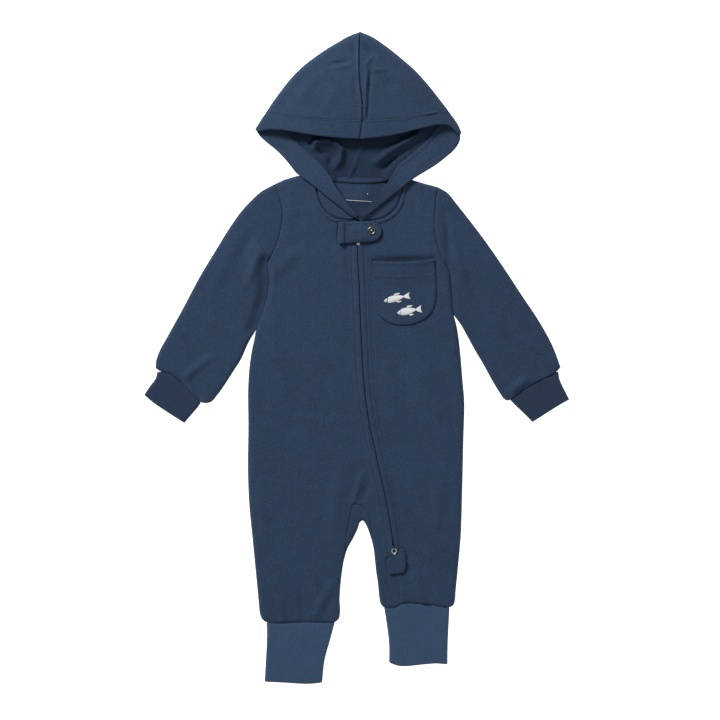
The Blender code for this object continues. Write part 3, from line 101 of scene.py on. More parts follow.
# One table for each side of the garment, a row for each section or a knot for each bend of an edge.
RIGHT = Side(
    name="right",
    armhole=[(-95, 200), (-88.5, 185), (-85.5, 169), (-86.5, 152), (-91, 134), (-98, 118), (-103, 108)],
    sleeve=[
        (-95, 200, -103, 108), (-110.6, 191.4, -101.5, 98), (-122.6, 180.4, -101, 86),
        (-133.6, 168.4, -103, 70), (-147.6, 148.4, -109, 50), (-163.6, 122.4, -116, 32),
        (-181.6, 92.4, -125, 17), (-199.6, 58.4, -133, -1), (-215.6, 29.4, -143, -17),
        (-227.6, 7.4, -152, -31), (-231.5, -4, -159, -41), (-232, -12, -163, -46),
    ],
    sleeve_end=[
        (-232, -12), (-225, -16), (-214, -19), (-200, -31), (-186, -46), (-177, -52), (-168, -51),
        (-163, -46),
    ],
    cuff=[
        (-230, -16.5, -179.5, -51.5), (-232, -24, -183.5, -57.5), (-238, -32, -190.5, -65.5),
        (-245.2, -42.6, -198.6, -75.2),
    ],
    cuff_hem=[(-245.2, -42.6), (-235.2, -51.1), (-220.7, -61.1), (-198.6, -75.2)],
    shoulder=[(-50, 211), (-69, 209.6), (-83, 205.6), (-95, 200)],
    side=[
        (-116, 32), (-118.2, 20), (-121, 8), (-124, -14), (-125.3, -38), (-125, -80), (-125.5, -129),
        (-124, -168), (-120, -210), (-115.5, -256), (-112.8, -284), (-111.6, -295), (-108.5, -302),
        (-104.5, -304.5),
    ],
    inseam=[
        (7, -187.3), (3.4, -190.2), (1.2, -197), (-4, -208), (-10.5, -220), (-14.5, -233), (-18, -256),
        (-19.6, -279), (-19, -292), (-20.6, -301), (-24.6, -304.5),
    ],
    gusset=[(-4, -169), (-6.5, -178), (-8.5, -188), (-10.8, -201), (-12.6, -213), (-12.4, -225.5)],
    leg_end=[(-104.5, -304.5), (-96, -305.5), (-86, -305.6), (-63, -304.6), (-36, -305), (-24.6, -304.5)],
    leg_cuff=[
        (-103.8, -305.2, -25.2, -305), (-103.7, -325, -30.5, -325), (-104.8, -348, -36.8, -348),
        (-106.2, -373.4, -39.8, -374.4),
    ],
    leg_hem=[(-106.2, -373.4), (-84, -374.4), (-56, -375.9), (-39.8, -374.4)],
)
LEFT = Side(
    name="left",
    armhole=[(93, 197), (91, 181), (90, 165), (90, 149), (92, 134), (97, 119), (104, 107)],
    sleeve=[
        (93, 197, 104, 107), (104.6, 190.4, 108, 97), (114.6, 178.4, 109, 83), (125.6, 164.4, 110, 67),
        (139.6, 146.4, 112, 49), (155.6, 124.4, 119.3, 39), (172.6, 99.4, 127.3, 25), (191.6, 70.4, 136, 9),
        (209.6, 43.4, 146, -8), (224.6, 16.4, 157, -28), (232, -2, 165, -41), (235, -11, 169, -47),
    ],
    sleeve_end=[
        (235, -11), (229, -17), (213, -25.5), (202, -31), (190, -38), (180, -46), (174, -49.5), (169, -47),
    ],
    cuff=[
        (232.5, -16, 177, -48.8), (234, -25, 184, -56), (239, -36, 193, -64.5),
        (245.2, -48.1, 202.6, -74.2),
    ],
    cuff_hem=[(245.2, -48.1), (235.2, -53.6), (220.7, -62.6), (202.6, -74.2)],
    shoulder=[(50, 210), (67, 204), (77, 201), (93, 197)],
    side=[
        (112, 49), (116, 32), (119, 9), (122, -26), (124, -51), (123, -95), (121.5, -160), (120, -205),
        (116, -250), (114, -270), (113.4, -279), (111.5, -285), (107.5, -287.6),
    ],
    inseam=[
        (7, -187.3), (10.2, -191.4), (13.2, -198.5), (17, -210), (19.5, -221), (22, -244), (24.5, -262),
        (26, -277), (27.6, -284), (31, -287.6),
    ],
    gusset=[(-4, -169), (1, -169), (7, -171.5), (12, -177), (15.2, -187), (16.8, -198), (17.2, -210.5)],
    leg_end=[
        (31, -287.6), (38, -288.2), (45, -287.4), (49.5, -284.3), (54, -282.5), (71, -283), (86, -284.4),
        (99, -287), (107.5, -287.6),
    ],
    leg_cuff=[
        (31.6, -288.2, 107, -288.2), (34.2, -305, 106.2, -305), (37.1, -328, 105.1, -328),
        (37.4, -351.4, 104.7, -353.4),
    ],
    leg_hem=[(37.4, -351.4), (50, -355.4), (78, -353.4), (92, -352.4), (104.7, -353.4)],
)

# Neckline of the fronts from the centre to each shoulder, and of the back
NECK_FRONT_RIGHT = [
    (1, 159), (-13, 159), (-25, 161), (-34, 166.5), (-41, 176), (-45, 187), (-48, 199), (-50, 211),
]
NECK_FRONT_LEFT = [
    (1, 159), (18, 159), (31, 161), (41, 167.5), (48, 177), (51, 188), (51.5, 199), (50, 210),
]
NECK_BACK = [
    (50, 210), (38.5, 206), (24, 203.4), (7, 202.6), (-11, 203), (-21, 204.2), (-31.5, 206), (-50, 211),
]

# Line of the zip from the neckline to the hem of the wearer's left leg
ZIP_LINE = [
    (1, 159), (1, 128), (1.5, 108), (3, 82), (4, 52), (5.5, 20), (7.5, -18), (10.5, -50), (15, -78),
    (21, -106), (27, -133), (33, -160), (38, -187), (42, -214), (45, -238), (48.5, -263), (49.5, -284.3),
]
ZIP_END_Y = -247.0  # below this the two fronts are simply sewn together

# Hood: columns from the centre seam to the corner of the face opening, over the outline to the back layer
HOOD_RIGHT = [
    (7, 272.5, 4, 375.8, -11, 203), (-6, 272.3, -9.6, 370.6, -21, 204.2),
    (-19, 272.5, -22.6, 363.1, -31.5, 206), (-31, 273, -34.6, 356.1, -40, 220),
    (-43, 273.8, -47.6, 347.1, -49, 229), (-56, 275, -60.6, 337.1, -58, 237),
    (-69, 277, -74.6, 323.6, -67, 245), (-81, 279, -86.6, 308.6, -76, 254),
    (-91, 281, -96.6, 295.1, -86, 264), (-99.5, 281.6, -103.4, 284.5, -97.5, 277.5),
]
HOOD_LEFT = [
    (7, 272.5, 4, 375.8, -11, 203), (18, 272.5, 17.6, 370.1, 7, 202.6), (30, 273, 30.6, 361.6, 24, 203.4),
    (42, 273.5, 42.5, 352.6, 38.5, 206), (54, 274.5, 54.5, 342.6, 48, 221), (65, 276, 66.5, 332.1, 59, 230),
    (77, 278, 79.5, 318.1, 70, 240), (88, 280.5, 90.5, 304.6, 81, 251), (97, 283, 100.5, 291.6, 91, 264),
    (101.5, 281.6, 105.8, 284.6, 99.5, 275.2),
]
HOOD_TOP_SEAM = [(7, 272.5), (7.1, 291), (5.4, 306), (3.9, 322), (3.5, 341), (3.6, 358), (4, 375.8)]
HOOD_BACK_SEAM = [(4, 375.8), (4, 330), (4, 285), (4, 243), (-2, 222), (-11, 203)]
HOOD_OUTLINE = [
    (-117.1, 264.2), (-111.6, 271.7), (-104.1, 283.6), (-96.6, 295.1), (-86.6, 308.6), (-74.6, 323.6),
    (-60.6, 337.1), (-47.6, 347.1), (-34.6, 356.1), (-22.6, 363.1), (-9.6, 370.6), (4, 375.8),
    (17.6, 370.1), (30.6, 361.6), (42.5, 352.6), (54.5, 342.6), (66.5, 332.1), (79.5, 318.1), (90.5, 304.6),
    (100.5, 291.6), (109.5, 279.6), (117, 268.7), (120, 259.2),
]

# Hem of the face opening: rows from the top centre round the corner of the opening to the zip.
# A lift is the height of the underside, and a row without lifts follows the hood's upper layer.
HEM_TOP_RIGHT = [
    (4, 251, 7, 272.5, LAID, LAID), (-8, 251.3, -6, 272.3, LAID, LAID), (-20, 252, -19, 272.5, LAID, LAID),
    (-32, 253, -31, 273, LAID, LAID), (-44, 254.5, -43, 273.8, LAID, LAID),
    (-57, 256.5, -56, 275, LAID, LAID), (-71, 259, -69, 277, LAID, LAID),
    (-85, 261.5, -81, 279, LAID, LAID), (-99, 262.5, -91, 281, LAID, LAID),
]
HEM_CORNER_RIGHT = ((-117.2, 263), (-111.7, 272.2), (-103.8, 284.2))
HEM_LOW_RIGHT = [
    (-112, 256, -95, 273, 0, 0), (-104.5, 249, -86, 264, 0.3, 0), (-93, 239.5, -76, 254, 1.2, 0.3),
    (-84, 230.5, -67, 245, 2.5, 1.1), (-77, 222, -58, 237, 4.1, 2.4), (-69.5, 212.5, -49, 229, 6.0, 4.2),
    (-60, 205.5, -40, 220, 7.9, 6.4), (-47, 195.5, -31, 208, 9.4, 9.2), (-33, 184, -24, 195.5, 10.0, 11.3),
    (-19, 173, -13.5, 181, 9.9, 11.6), (-7.5, 164.3, -4.5, 169, 9.4, 10.8),
    (-0.6, 160, 0.5, 163.5, 9.0, 10.2),
]
HEM_TOP_LEFT = [
    (4, 251, 7, 272.5, LAID, LAID), (17, 251.8, 18, 272.5, LAID, LAID), (30, 253.3, 30, 273, LAID, LAID),
    (43, 255.5, 42, 273.5, LAID, LAID), (56, 258.5, 54, 274.5, LAID, LAID), (69, 262, 65, 276, LAID, LAID),
    (83, 265.5, 77, 278, LAID, LAID), (96, 268, 88, 280.5, LAID, LAID), (106, 267, 97, 283, LAID, LAID),
]
HEM_CORNER_LEFT = ((120.6, 258.5), (117, 268.4), (106.6, 283.6))
HEM_LOW_LEFT = [
    (119, 250.5, 99, 274, 0, 0), (113.5, 241, 91, 264, 0.4, 0), (102, 230.5, 81, 251, 1.6, 0.6),
    (91, 222, 70, 240, 3.2, 2.0), (80, 215, 59, 230, 5.2, 4.0), (68, 207.5, 48, 221, 7.3, 6.2),
    (55, 198, 40, 208, 8.9, 8.8), (41, 186.5, 32, 195, 9.8, 11.4), (27, 175, 22, 183.5, 10.0, 11.7),
    (14, 165, 11, 170.5, 9.6, 11.0), (2.6, 160, 1.5, 163.5, 9.0, 10.2),
]

# Front corners of the hood, which rise from the neckline and roll under the hem
CORNER_RIGHT = [
    (-47.6, 199.5, -36, 204.5, 8.0, 7.8), (-45.6, 191.5, -29.5, 203, 8.0, 9.2),
    (-43.5, 182.5, -25.5, 195.5, 8.0, 10.3), (-38.5, 172, -19, 185, 8.0, 10.3),
    (-30, 163.5, -12, 175.5, 8.0, 10.2), (-19, 160.2, -6, 167.5, 8.0, 9.5),
    (-6, 159.4, -1, 162.5, 8.0, 8.7),
]
CORNER_LEFT = [
    (51.5, 199, 44.5, 201.5, 8.0, 7.7), (51.2, 189, 36, 196, 8.0, 10.0), (48.5, 178, 28, 188, 8.0, 10.3),
    (42, 168.5, 20, 178, 8.0, 10.3), (31.5, 161.5, 13, 169, 8.0, 9.9), (19, 159.4, 7, 163.5, 8.0, 9.0),
    (8, 159.3, 3, 161.3, 8.0, 8.6),
]


# Small pieces on the front
POCKET = [
    (18.5, 111.5), (18.3, 90), (18.5, 70), (20.5, 58), (25.5, 49), (34, 42), (44, 38.5), (54, 37.5),
    (66, 39.3), (77, 44), (85, 51), (90, 62), (91.5, 80), (90.5, 100), (89.5, 114), (71, 111), (53, 109.8),
    (35, 110.3),
]
POCKET_HEM = 16.0
POCKET_GAPE = 2.6
CHIN_GUARD = [
    (-21, 156.3), (-21, 131.5), (-13.5, 131.5), (5, 132.5), (18, 133.5), (24, 136), (28, 141), (29, 146.5),
    (27.5, 151.5), (24, 155), (18, 156.6), (0, 156.6), (-13.5, 156.3),
]
GUARD_BULGE = 1.7
CHIN_FOLD_X = -13.5
SNAP = Point(17, 146)
SNAP_RING = [
    (3.0, 0.0), (4.45, 0.0), (4.6, 0.12), (4.6, 0.5), (4.4, 0.85), (4.0, 1.08), (3.6, 1.05), (3.25, 0.8),
    (3.02, 0.5),
]
SNAP_CLOTH = [(0.02, 0.62), (1.0, 0.58), (2.0, 0.42), (2.7, 0.2), (2.95, 0.02), (2.95, -0.2), (0.02, -0.2)]
SNAP_CENTRE = [(0.02, 0.95), (0.5, 0.9), (0.72, 0.72), (0.75, 0.5), (0.02, 0.5)]
SLIDER_NOSE = [(0.02, 0.0), (1.7, 0.0), (2.2, 0.3), (2.3, 0.8), (2.1, 1.3), (1.5, 1.6), (0.02, 1.7)]
ZIP_PATCH = [
    (34, -231.5), (34.8, -244), (37.6, -249.3), (42, -249), (55, -245.5), (56.3, -228), (53, -219.2),
    (49, -220), (46.8, -226), (38.3, -229.3),
]
PATCH = 1.7
LABEL = [(-15, 163), (20, 163), (20, 181.5), (-15, 181.5)]
NECK_TAPE = [(-34, 207.5), (-15, 205.2), (4, 204.5), (23, 205), (39, 207.6)]
TOP_SLIDER = Point(1.0, 141.0)
LOW_SLIDER = Point(42.7, -219.4)

# Folds of the cloth: line of the crest, half of its width, and its height, negative for a trough
FRONT_FOLDS = [
    (6, -134, -4, -166, 5, 2.0), (13, -146, 9, -160, 6, -1.5), (-22, 128, -12, 92, 9, 1.4),
    (-14, 124, -4, 108, 5, -0.9), (-70, 120, -96, 96, 12, 1.2), (74, 125, 96, 100, 12, 1.1),
    (18, 34, 50, -14, 12, -1.2), (66, -250, 80, -284, 7, 2.0), (57, -237, 84, -279, 4, -1.3),
    (52, -262, 55, -281, 3.5, 0.9), (-30, -262, -48, -296, 9, 2.1), (-66, -268, -60, -298, 6, -1.3),
    (-44, -258, -33, -290, 5, -1.4), (-88, -276, -84, -301, 4, 0.8), (-16, -120, -28, -200, 16, 1.1),
    (-40, -60, -30, -140, 22, -0.8), (60, 20, 92, -60, 18, 1.1), (-100, 40, -84, -40, 14, 0.9),
    (98, -110, 92, -190, 12, 0.9), (-110, -150, -104, -230, 10, 0.7), (36, 2, 40, -60, 14, 0.6),
    (-78, 196, -80, 120, 16, 0.8), (-94, 112, -97, 64, 5, 0.8),
]
MOUTH_DIP = [(22, 110, 88, 112, 9, -3.0)]  # the front sinks behind the open mouth of the pocket
SLEEVE_FOLDS = [
    (-112, 118, -128, 84, 9, 1.6), (-196, -22, -172, -2, 8, 1.8), (178, -38, 196, -24, 8, 2.1),
    (112, 124, 124, 90, 9, 1.4), (-197, 20, -183, -14, 7, -1.2), (-218, -4, -206, -26, 4, 0.9),
    (-190, -20, -180, -47, 4, -1.2), (-140, 132, -170, 70, 14, 0.9), (206, -6, 216, -24, 5, -1.1),
    (148, 110, 176, 60, 14, 0.9), (102, 166, 108, 120, 7, -1.2), (190, 20, 214, 6, 7, 0.9),
    (-116, 150, -132, 120, 10, -0.9), (-117, 122, -119, 66, 13, 1.8), (128, 92, 150, 50, 9, -0.9),
]
HOOD_TOP_FOLDS = [
    (-6, 356, -2, 346, 5, -1.7), (10, 357, 20, 348, 7, -1.9), (18, 346, 12, 337, 2.6, 1.3),
    (10, 338, 11.4, 324, 2.7, 1.3), (11.4, 324, 10.6, 310, 2.7, 1.3), (10.6, 310, 9.6, 287, 2.4, 1.3),
    (9.6, 287, 9.2, 276, 2.0, 1.0), (16, 330, 14, 297, 3.2, -1.6), (14, 297, 12.6, 274, 2.8, -1.4),
    (14, 329, 35, 331, 4, 1.1), (30, 316, 42, 311, 9, -1.1), (-31, 337, -9, 340.5, 3, -1.4),
    (-26, 332, -7, 335.5, 3.6, 1.0), (-3, 318, -0.5, 297, 4.5, -1.2), (-52, 318, -70, 290, 12, 0.8),
    (52, 318, 76, 288, 12, 0.9), (98, 281, 78, 279, 3, 1.0), (94, 276, 74, 273.5, 2.6, -0.9),
    (-24, 306, -34, 286, 10, 0.6),
]
HOOD_INSIDE_FOLDS = [
    (-51, 240, -47, 248, 6, 4.6), (-47, 248, -36, 250.5, 6, 5.0), (-36, 250.5, -24, 247, 6, 5.2),
    (-24, 247, -17, 239, 6, 5.0), (-17, 239, -19, 227, 6, 4.4), (-19, 227, -26, 218, 6, 3.4),
    (-46, 236, -35, 238, 4.5, -3.4), (-35, 238, -27, 232, 4.5, -3.4), (-27, 232, -33, 223, 4.5, -3.2),
    (-42, 228.5, -36, 227.5, 3.4, 3.0), (-57, 250, -50, 243, 4, -3.6), (-74, 254, -41, 219, 2.6, 1.7),
    (-68, 255, -44, 229, 2.2, -1.4), (72, 258, 56, 248, 7, 4.6), (56, 248, 38, 237, 7, 5.4),
    (38, 237, 22, 225, 7, 5.0), (78, 250, 56, 237, 5, -3.2), (56, 237, 40, 226, 5, -3.6),
    (40, 226, 29, 218, 5, -3.6), (50, 221, 61, 232, 5, 2.6), (38, 212, 40, 207, 3.6, -3.0),
    (4, 246, 3, 226, 7, 0.8), (-64, 243, -32, 208, 15, 5.0), (66, 238, 40, 209, 15, 5.0),
]

COLOURS = {  # sRGB of each finish
    "jersey": "203752",
    # wrong side of the jersey, darkened as painted shade inside the hood and the back neck
    "inside": "162B44",
    # rib of the leg cuffs: paler than the sleeve cuffs' rib, as painted light
    "rib": "314A68",
    # rib of the sleeve cuffs: the leg cuffs' rib darkened as painted shade
    "shaded_rib": "1D324B",
    "label": "0D2645",
    "tape": "223047",
    # topstitching thread, darker than the cloth as painted shade of the sunk stitches
    "thread": "1D3047",
    "embroidery": "E9ECEC",
    "brass": "968F7A",
    "nickel": "F0F1F1",
    "enamel": "1B2738",
    "backdrop": "FAFAFA",
}


def linear(code):
    """Linear red, green and blue of an sRGB hex colour."""
    parts = [int(code[i : i + 2], 16) / 255 for i in (0, 2, 4)]
    return tuple(c / 12.92 if c <= 0.04045 else ((c + 0.055) / 1.055) ** 2.4 for c in parts)


# ---------------------------------------------------------------- sizes and colours a user can change


def length(name, description, default):
    return bpy.props.FloatProperty(
        name=name, description=description, default=default * MM, min=0.01 * MM, unit="LENGTH", precision=5
    )


def colour(key, description):
    return bpy.props.FloatVectorProperty(
        name=key.capitalize(), description=description, default=linear(COLOURS[key]), subtype="COLOR",
        min=0, max=1
    )


class RomperSizes(bpy.types.PropertyGroup):
    step: length("Mesh step", "Distance between points in the middle of a panel", 2.6)
    stitch: length("Stitch", "Length of a topstitch from hole to hole", 2.9)
    thread: length("Thread", "Thickness of the topstitching thread", 0.42)
    coil: length("Coil pitch", "Distance between two teeth of the zip's coil", 1.4)
    rib: length("Rib pitch", "Distance between two ribs of the cuffs", 2.4)
    rib_depth: length("Rib depth", "Height of a rib over the groove beside it", 0.34)
    ripple: length("Ripple", "Height of the soft waves of the cloth as it lies", 0.55)


class RomperColours(bpy.types.PropertyGroup):
    jersey: colour("jersey", "Navy sweatshirt jersey")
    # Wrong side of the jersey, darkened as painted shade inside the hood
    inside: colour("inside", "Wrong side of the jersey")
    # Rib of the leg cuffs, made paler as painted light
    rib: colour("rib", "Rib of the leg cuffs")
    # Rib of the sleeve cuffs, darkened as painted shade
    shaded_rib: colour("shaded_rib", "Rib of the sleeve cuffs")
    label: colour("label", "Woven label, bare")
    tape: colour("tape", "Zip tape and coil")
    # Topstitching thread, darkened as painted shade of the sunk stitches
    thread: colour("thread", "Topstitching thread")
    embroidery: colour("embroidery", "Embroidery thread")
    brass: colour("brass", "Ring of the press stud")
    nickel: colour("nickel", "Pull and stud centre")
    enamel: colour("enamel", "Enamel of the slider bodies")
    backdrop: colour("backdrop", "Paper that the romper lies on")


def size(name):
    """A size in millimetres."""
    return getattr(bpy.context.scene.romper_sizes, name) / MM


# ---------------------------------------------------------------- plan geometry


def smooth(knots, step=3.0):
    """Points along a centripetal Catmull-Rom curve through knots of any dimension, about a step apart."""
    k = np.array(knots, float)
    k = np.vstack([2 * k[0] - k[1], k, 2 * k[-1] - k[-2]])
    out = []
    for a, b, c, d in zip(k, k[1:], k[2:], k[3:]):
        t = np.cumsum([0.0, *(max(np.linalg.norm(q - p), 1e-6) ** 0.5 for p, q in ((a, b), (b, c), (c, d)))])
        count = max(1, round(float(np.linalg.norm(c - b)) / step))
        for u in np.linspace(t[1], t[2], count, endpoint=False):
            ab = (a * (t[1] - u) + b * (u - t[0])) / (t[1] - t[0])
            bc = (b * (t[2] - u) + c * (u - t[1])) / (t[2] - t[1])
            cd = (c * (t[3] - u) + d * (u - t[2])) / (t[3] - t[2])
            abc = (ab * (t[2] - u) + bc * (u - t[0])) / (t[2] - t[0])
            bcd = (bc * (t[3] - u) + cd * (u - t[1])) / (t[3] - t[1])
            out.append((abc * (t[2] - u) + bcd * (u - t[1])) / (t[2] - t[1]))
    return np.vstack([out, k[-2]])


def run_of(line):
    """Length of a polyline from its start to each of its points."""
    return np.concatenate([[0], np.cumsum(np.linalg.norm(np.diff(line, axis=0), axis=1))])


def at_runs(line, runs):
    """Points of a polyline at distances from its start."""
    line = np.array(line, float)
    run = run_of(line)
    return np.stack([np.interp(runs, run, line[:, i]) for i in range(line.shape[1])], axis=-1)


def along(line, shares):
    """Points at the given shares of a polyline's length."""
    line = np.array(line, float)
    return at_runs(line, np.array(shares) * run_of(line)[-1])


def stepped(line, step):
    """A polyline with its points at equal steps."""
    total = run_of(np.array(line, float))[-1]
    return along(line, np.linspace(0, 1, max(2, round(total / step) + 1)))


def shifted(line, amount):
    """A polyline moved sideways, to the left of its direction, by an amount or one amount a point."""
    line = np.array(line, float)
    step = np.diff(line, axis=0)
    step /= np.linalg.norm(step, axis=1)[:, None]
    left = np.stack([-step[:, 1], step[:, 0]], axis=1)
    mitre = np.vstack([left[:1], left[:-1] + left[1:], left[-1:]])
    mitre /= np.maximum((mitre * np.vstack([left[:1], left])).sum(1), 0.5)[:, None]
    return line + mitre * np.broadcast_to(amount, len(line))[:, None]


def between(line, high, low):
    """The stretch of a line that runs downwards between two values of y."""
    ends = [[np.interp(-y, -line[:, 1], line[:, 0]), y] for y in (high, low)]
    kept = line[(line[:, 1] < high - 1) & (line[:, 1] > low + 1)]
    return np.vstack([ends[:1], kept, ends[1:]])


def distance(points, line):
    """Distance from each point to a polyline."""
    points, line = np.atleast_2d(points)[:, :2], np.array(line, float)[:, :2]
    best = np.full(len(points), 1e9)
    for a, b in zip(line, line[1:]):
        ab = b - a
        t = np.clip(((points - a) @ ab) / max(ab @ ab, 1e-12), 0, 1)
        best = np.minimum(best, np.linalg.norm(points - a - t[:, None] * ab, axis=1))
    return best


def nearest(points, lines):
    """Distance from each point to the nearest of several polylines."""
    return np.min([distance(points, line) for line in lines], axis=0)


def inside(points, outline):
    """Whether each point lies inside a closed outline."""
    x, y = points[:, 0], points[:, 1]
    hit = np.zeros(len(points), bool)
    for (ax, ay), (bx, by) in zip(outline, np.roll(outline, -1, axis=0)):
        if ay != by:
            hit ^= ((ay > y) != (by > y)) & (x < (bx - ax) * (y - ay) / (by - ay) + ax)
    return hit


# ---------------------------------------------------------------- heights


def rise(share):
    """A quarter of an ellipse, from 0 at the edge of the cloth to 1 where it lies level."""
    share = np.clip(share, 0, 1)
    return np.sqrt(np.maximum(0, 1 - (1 - share) ** 2))


def fade(share):
    """Smooth step from 1 at 0 to 0 at 1."""
    share = np.clip(share, 0, 1)
    return 1 - share * share * (3 - 2 * share)


def groove(away, width, depth):
    """A rounded groove with its bottom where away is 0."""
    return -depth * (1 - rise(away / width))


def skins(d, height, cloth, roll, middle):
    """Heights of the upper layer's outer and inner face and the lower layer's inner and outer face."""
    outer, inner = rise(d / roll), rise((d - cloth) / (roll - cloth))
    return (
        middle + (height - middle) * outer,
        middle + (height - cloth - middle) * inner,
        middle - (middle - cloth) * inner,
        middle * (1 - outer),
    )


def folded(points, folds, gain=1.4):
    """Lift of the cloth from a table of folds, deepened by the gain."""
    lift = np.zeros(len(points))
    for x0, y0, x1, y1, half_width, height in folds:
        a, b = np.array([x0, y0], float), np.array([x1, y1], float)
        share = np.clip(((points[:, :2] - a) @ (b - a)) / ((b - a) @ (b - a)), 0, 1)
        away = np.linalg.norm(points[:, :2] - a - share[:, None] * (b - a), axis=1)
        lift += gain * height * fade(away / half_width) * (0.55 + 0.45 * np.sin(pi * share))
    return lift


def ripple(points, seed=0.0, across=34.0, along_y=52.0):
    """Soft waves of cloth that lies loose, the same on each run."""
    made = [
        noise.noise(Vector((x / across, y / along_y, seed)))
        + 0.5 * noise.noise(Vector((x / 13, y / 17, seed + 7)))
        for x, y in points[:, :2]
    ]
    return size("ripple") * np.array(made)


def contact(side):
    """The stretch of side seam that the sleeve lies against, from the underarm down."""
    return [(x, y) for _, _, x, y in side.sleeve if y > side.side[0][1]] + [side.side[0]]


def side_line(side, step=3.0):
    """The side seam from the underarm to the cuff, with the knots that the sleeve shares."""
    return np.vstack([contact(side)[:-1], smooth(side.side, step)])


def gusset_seam():
    """Seam of the gusset on the front and the back, from the wearer's left leg to the right leg."""
    return smooth(np.vstack([LEFT.gusset[::-1], RIGHT.gusset[1:]]))


ZIP = smooth(ZIP_LINE)
BODY_EDGES = [
    line
    for side in (RIGHT, LEFT)
    for line in (side_line(side, 6), np.array(side.shoulder, float), smooth(side.inseam, 6))
]
NECK_EDGES = [smooth(NECK_FRONT_RIGHT[:-1], 4), smooth(NECK_FRONT_LEFT[:-1], 4)]
LEG_ENDS = [smooth(side.leg_end) for side in (RIGHT, LEFT)]
ARMHOLES = [smooth(side.armhole, 4) for side in (RIGHT, LEFT)]
SEAMS = [*LEG_ENDS, *ARMHOLES, gusset_seam()]
PRESSED = [smooth(POCKET[:15]), smooth([*CHIN_GUARD, CHIN_GUARD[0]]), smooth([*ZIP_PATCH, ZIP_PATCH[0]])]
ZIP_STITCHES = [
    between(shifted(ZIP, turn * ZIP_INSET), 156.0, end) for turn, end in ((-1, -229.0), (1, -221.0))
]
NECK_STITCHES = [shifted(line, turn * NECK_INSET)[1:-1] for line, turn in zip(NECK_EDGES, (1, -1))]


def front_lift(points):
    """Lift of the fronts over the zip tape and the neck seam, less the dips at the seams."""
    to_zip = distance(points, ZIP)
    tape = fade((to_zip - 8.5) / 3.5) * fade((TAPE_BOTTOM_Y - points[:, 1]) / 12)
    neck = 1.3 * fade((nearest(points, NECK_EDGES) - 4.4) / 2.0)
    cuff = 1 - rise(nearest(points, LEG_ENDS) / 6)
    lift = 0.8 * tape + neck * (1 - tape) - cuff + folded(points, FRONT_FOLDS) + ripple(points)
    lift += 0.6 * fade((to_zip - 4.6) / 2.4) * tape
    return lift


def front_grooves(points):
    """Narrow grooves along the seams, the zip's edges and the topstitching."""
    made = groove(nearest(points, SEAMS), *SEAM_GROOVE) + groove(nearest(points, NECK_EDGES), *NECK_GROOVE)
    made += groove(distance(points, ZIP) - ZIP_GAP, 1.2, 0.4)
    made += groove(nearest(points, ZIP_STITCHES), 2.4, 0.7)
    made += groove(nearest(points, PRESSED[:1]), 2.0, 0.4) + groove(nearest(points, PRESSED[1:]), 2.6, 1.0)
    return made + groove(nearest(points, NECK_STITCHES), *NECK_GROOVE)


def front_faces(points, fine=True):
    """Top and underside of the fronts; without the fine grooves where another piece is made over them."""
    d = nearest(points, BODY_EDGES)
    top, under, _, _ = skins(d, BODY_HEIGHT, CLOTH, BODY_ROLL, BODY_MIDDLE + HALF_SEAM)
    lift = front_lift(points) * rise(d / (2 * BODY_ROLL))
    if fine:
        lift += folded(points, MOUTH_DIP, 1.0)
    low = BODY_MIDDLE + HALF_SEAM
    top = top + lift + (front_grooves(points) * rise(d / 4) if fine else 0)
    under = np.maximum(under + lift * rise(d / 20), low)
    return np.maximum(top, np.maximum(under, low) + 0.5), under


def front_top(points):
    """Height of the fronts' outer face."""
    return front_faces(np.atleast_2d(points))[0]


def back_faces(points):
    """Top and underside of the back, which lies flat."""
    d = nearest(points, BODY_EDGES)
    _, _, top, under = skins(d, BODY_HEIGHT, CLOTH, BODY_ROLL, BODY_MIDDLE - HALF_SEAM)
    top = top + groove(abs(distance(points, smooth(NECK_BACK)) - 7.4), 1.3, 0.5)
    return top, np.minimum(under, BODY_MIDDLE - HALF_SEAM - 0.5)


HOOD_RIM = smooth(HOOD_OUTLINE, 2.0)


def hood_height(points):
    """Outer height of the hood's upper layer."""
    share = np.clip(distance(points, HOOD_RIM) / HOOD_SLOPE, 0, 1)
    return HOOD_EDGE + HOOD_CROWN * share * (2 - share)


def hood_top_lift(points):
    """Lift of the hood's upper layer from folds, the seam allowance and the topstitching beside the seam."""
    seam = smooth(HOOD_TOP_SEAM)
    to_seam = distance(points, seam)
    left_of = points[:, 0] < np.interp(points[:, 1], seam[:, 1], seam[:, 0])
    allowance = np.where(left_of, 1.2, 0.0) * fade((to_seam - 1.6) / 3.2)
    stitches = groove(np.where(left_of, abs(to_seam - HOOD_INSET), 9.0), 1.6, 0.7)
    lift = allowance + stitches + groove(to_seam, 1.7, 1.9)
    return lift + folded(points, HOOD_TOP_FOLDS) + ripple(points, 3.0) * 1.2


def hood_inside_lift(points):
    """Lift of the hood's back layer: folds, the centre back seam and the edge that the hem is sewn to."""
    to_seam = distance(points, smooth(HOOD_BACK_SEAM))
    seam = groove(abs(to_seam - 3.2), 1.8, 1.0) + 0.8 * fade((to_seam - 1.6) / 1.6)
    base = 3.6 * fade((distance(points, [(-40, 245), (45, 245)]) - 10) / 40)
    lift = base + folded(points, HOOD_INSIDE_FOLDS, 1.1) + seam + 1.4 * ripple(points, 5.0)
    for table in (HEM_LOW_RIGHT, HEM_LOW_LEFT):
        edge = stepped([(row[2], row[3], row[5]) for row in table[:7]], 1.5)
        away = np.linalg.norm(points[:, None, :2] - edge[None, :, :2], axis=2)
        share = fade((away.min(axis=1) - 1.5) / 11)
        lift += share * (np.minimum(edge[away.argmin(axis=1), 2], SEWN_LIFT) - lift)
    return lift


# ---------------------------------------------------------------- materials


def node(tree, kind, links=None, **settings):
    """Adds a node with its settings, and its sockets' values or links."""
    made = tree.nodes.new(kind)
    for name, value in settings.items():
        setattr(made, name, value)
    for socket, value in (links or {}).items():
        if isinstance(value, bpy.types.NodeSocket):
            tree.links.new(value, made.inputs[socket])
        else:
            made.inputs[socket].default_value = value
    return made


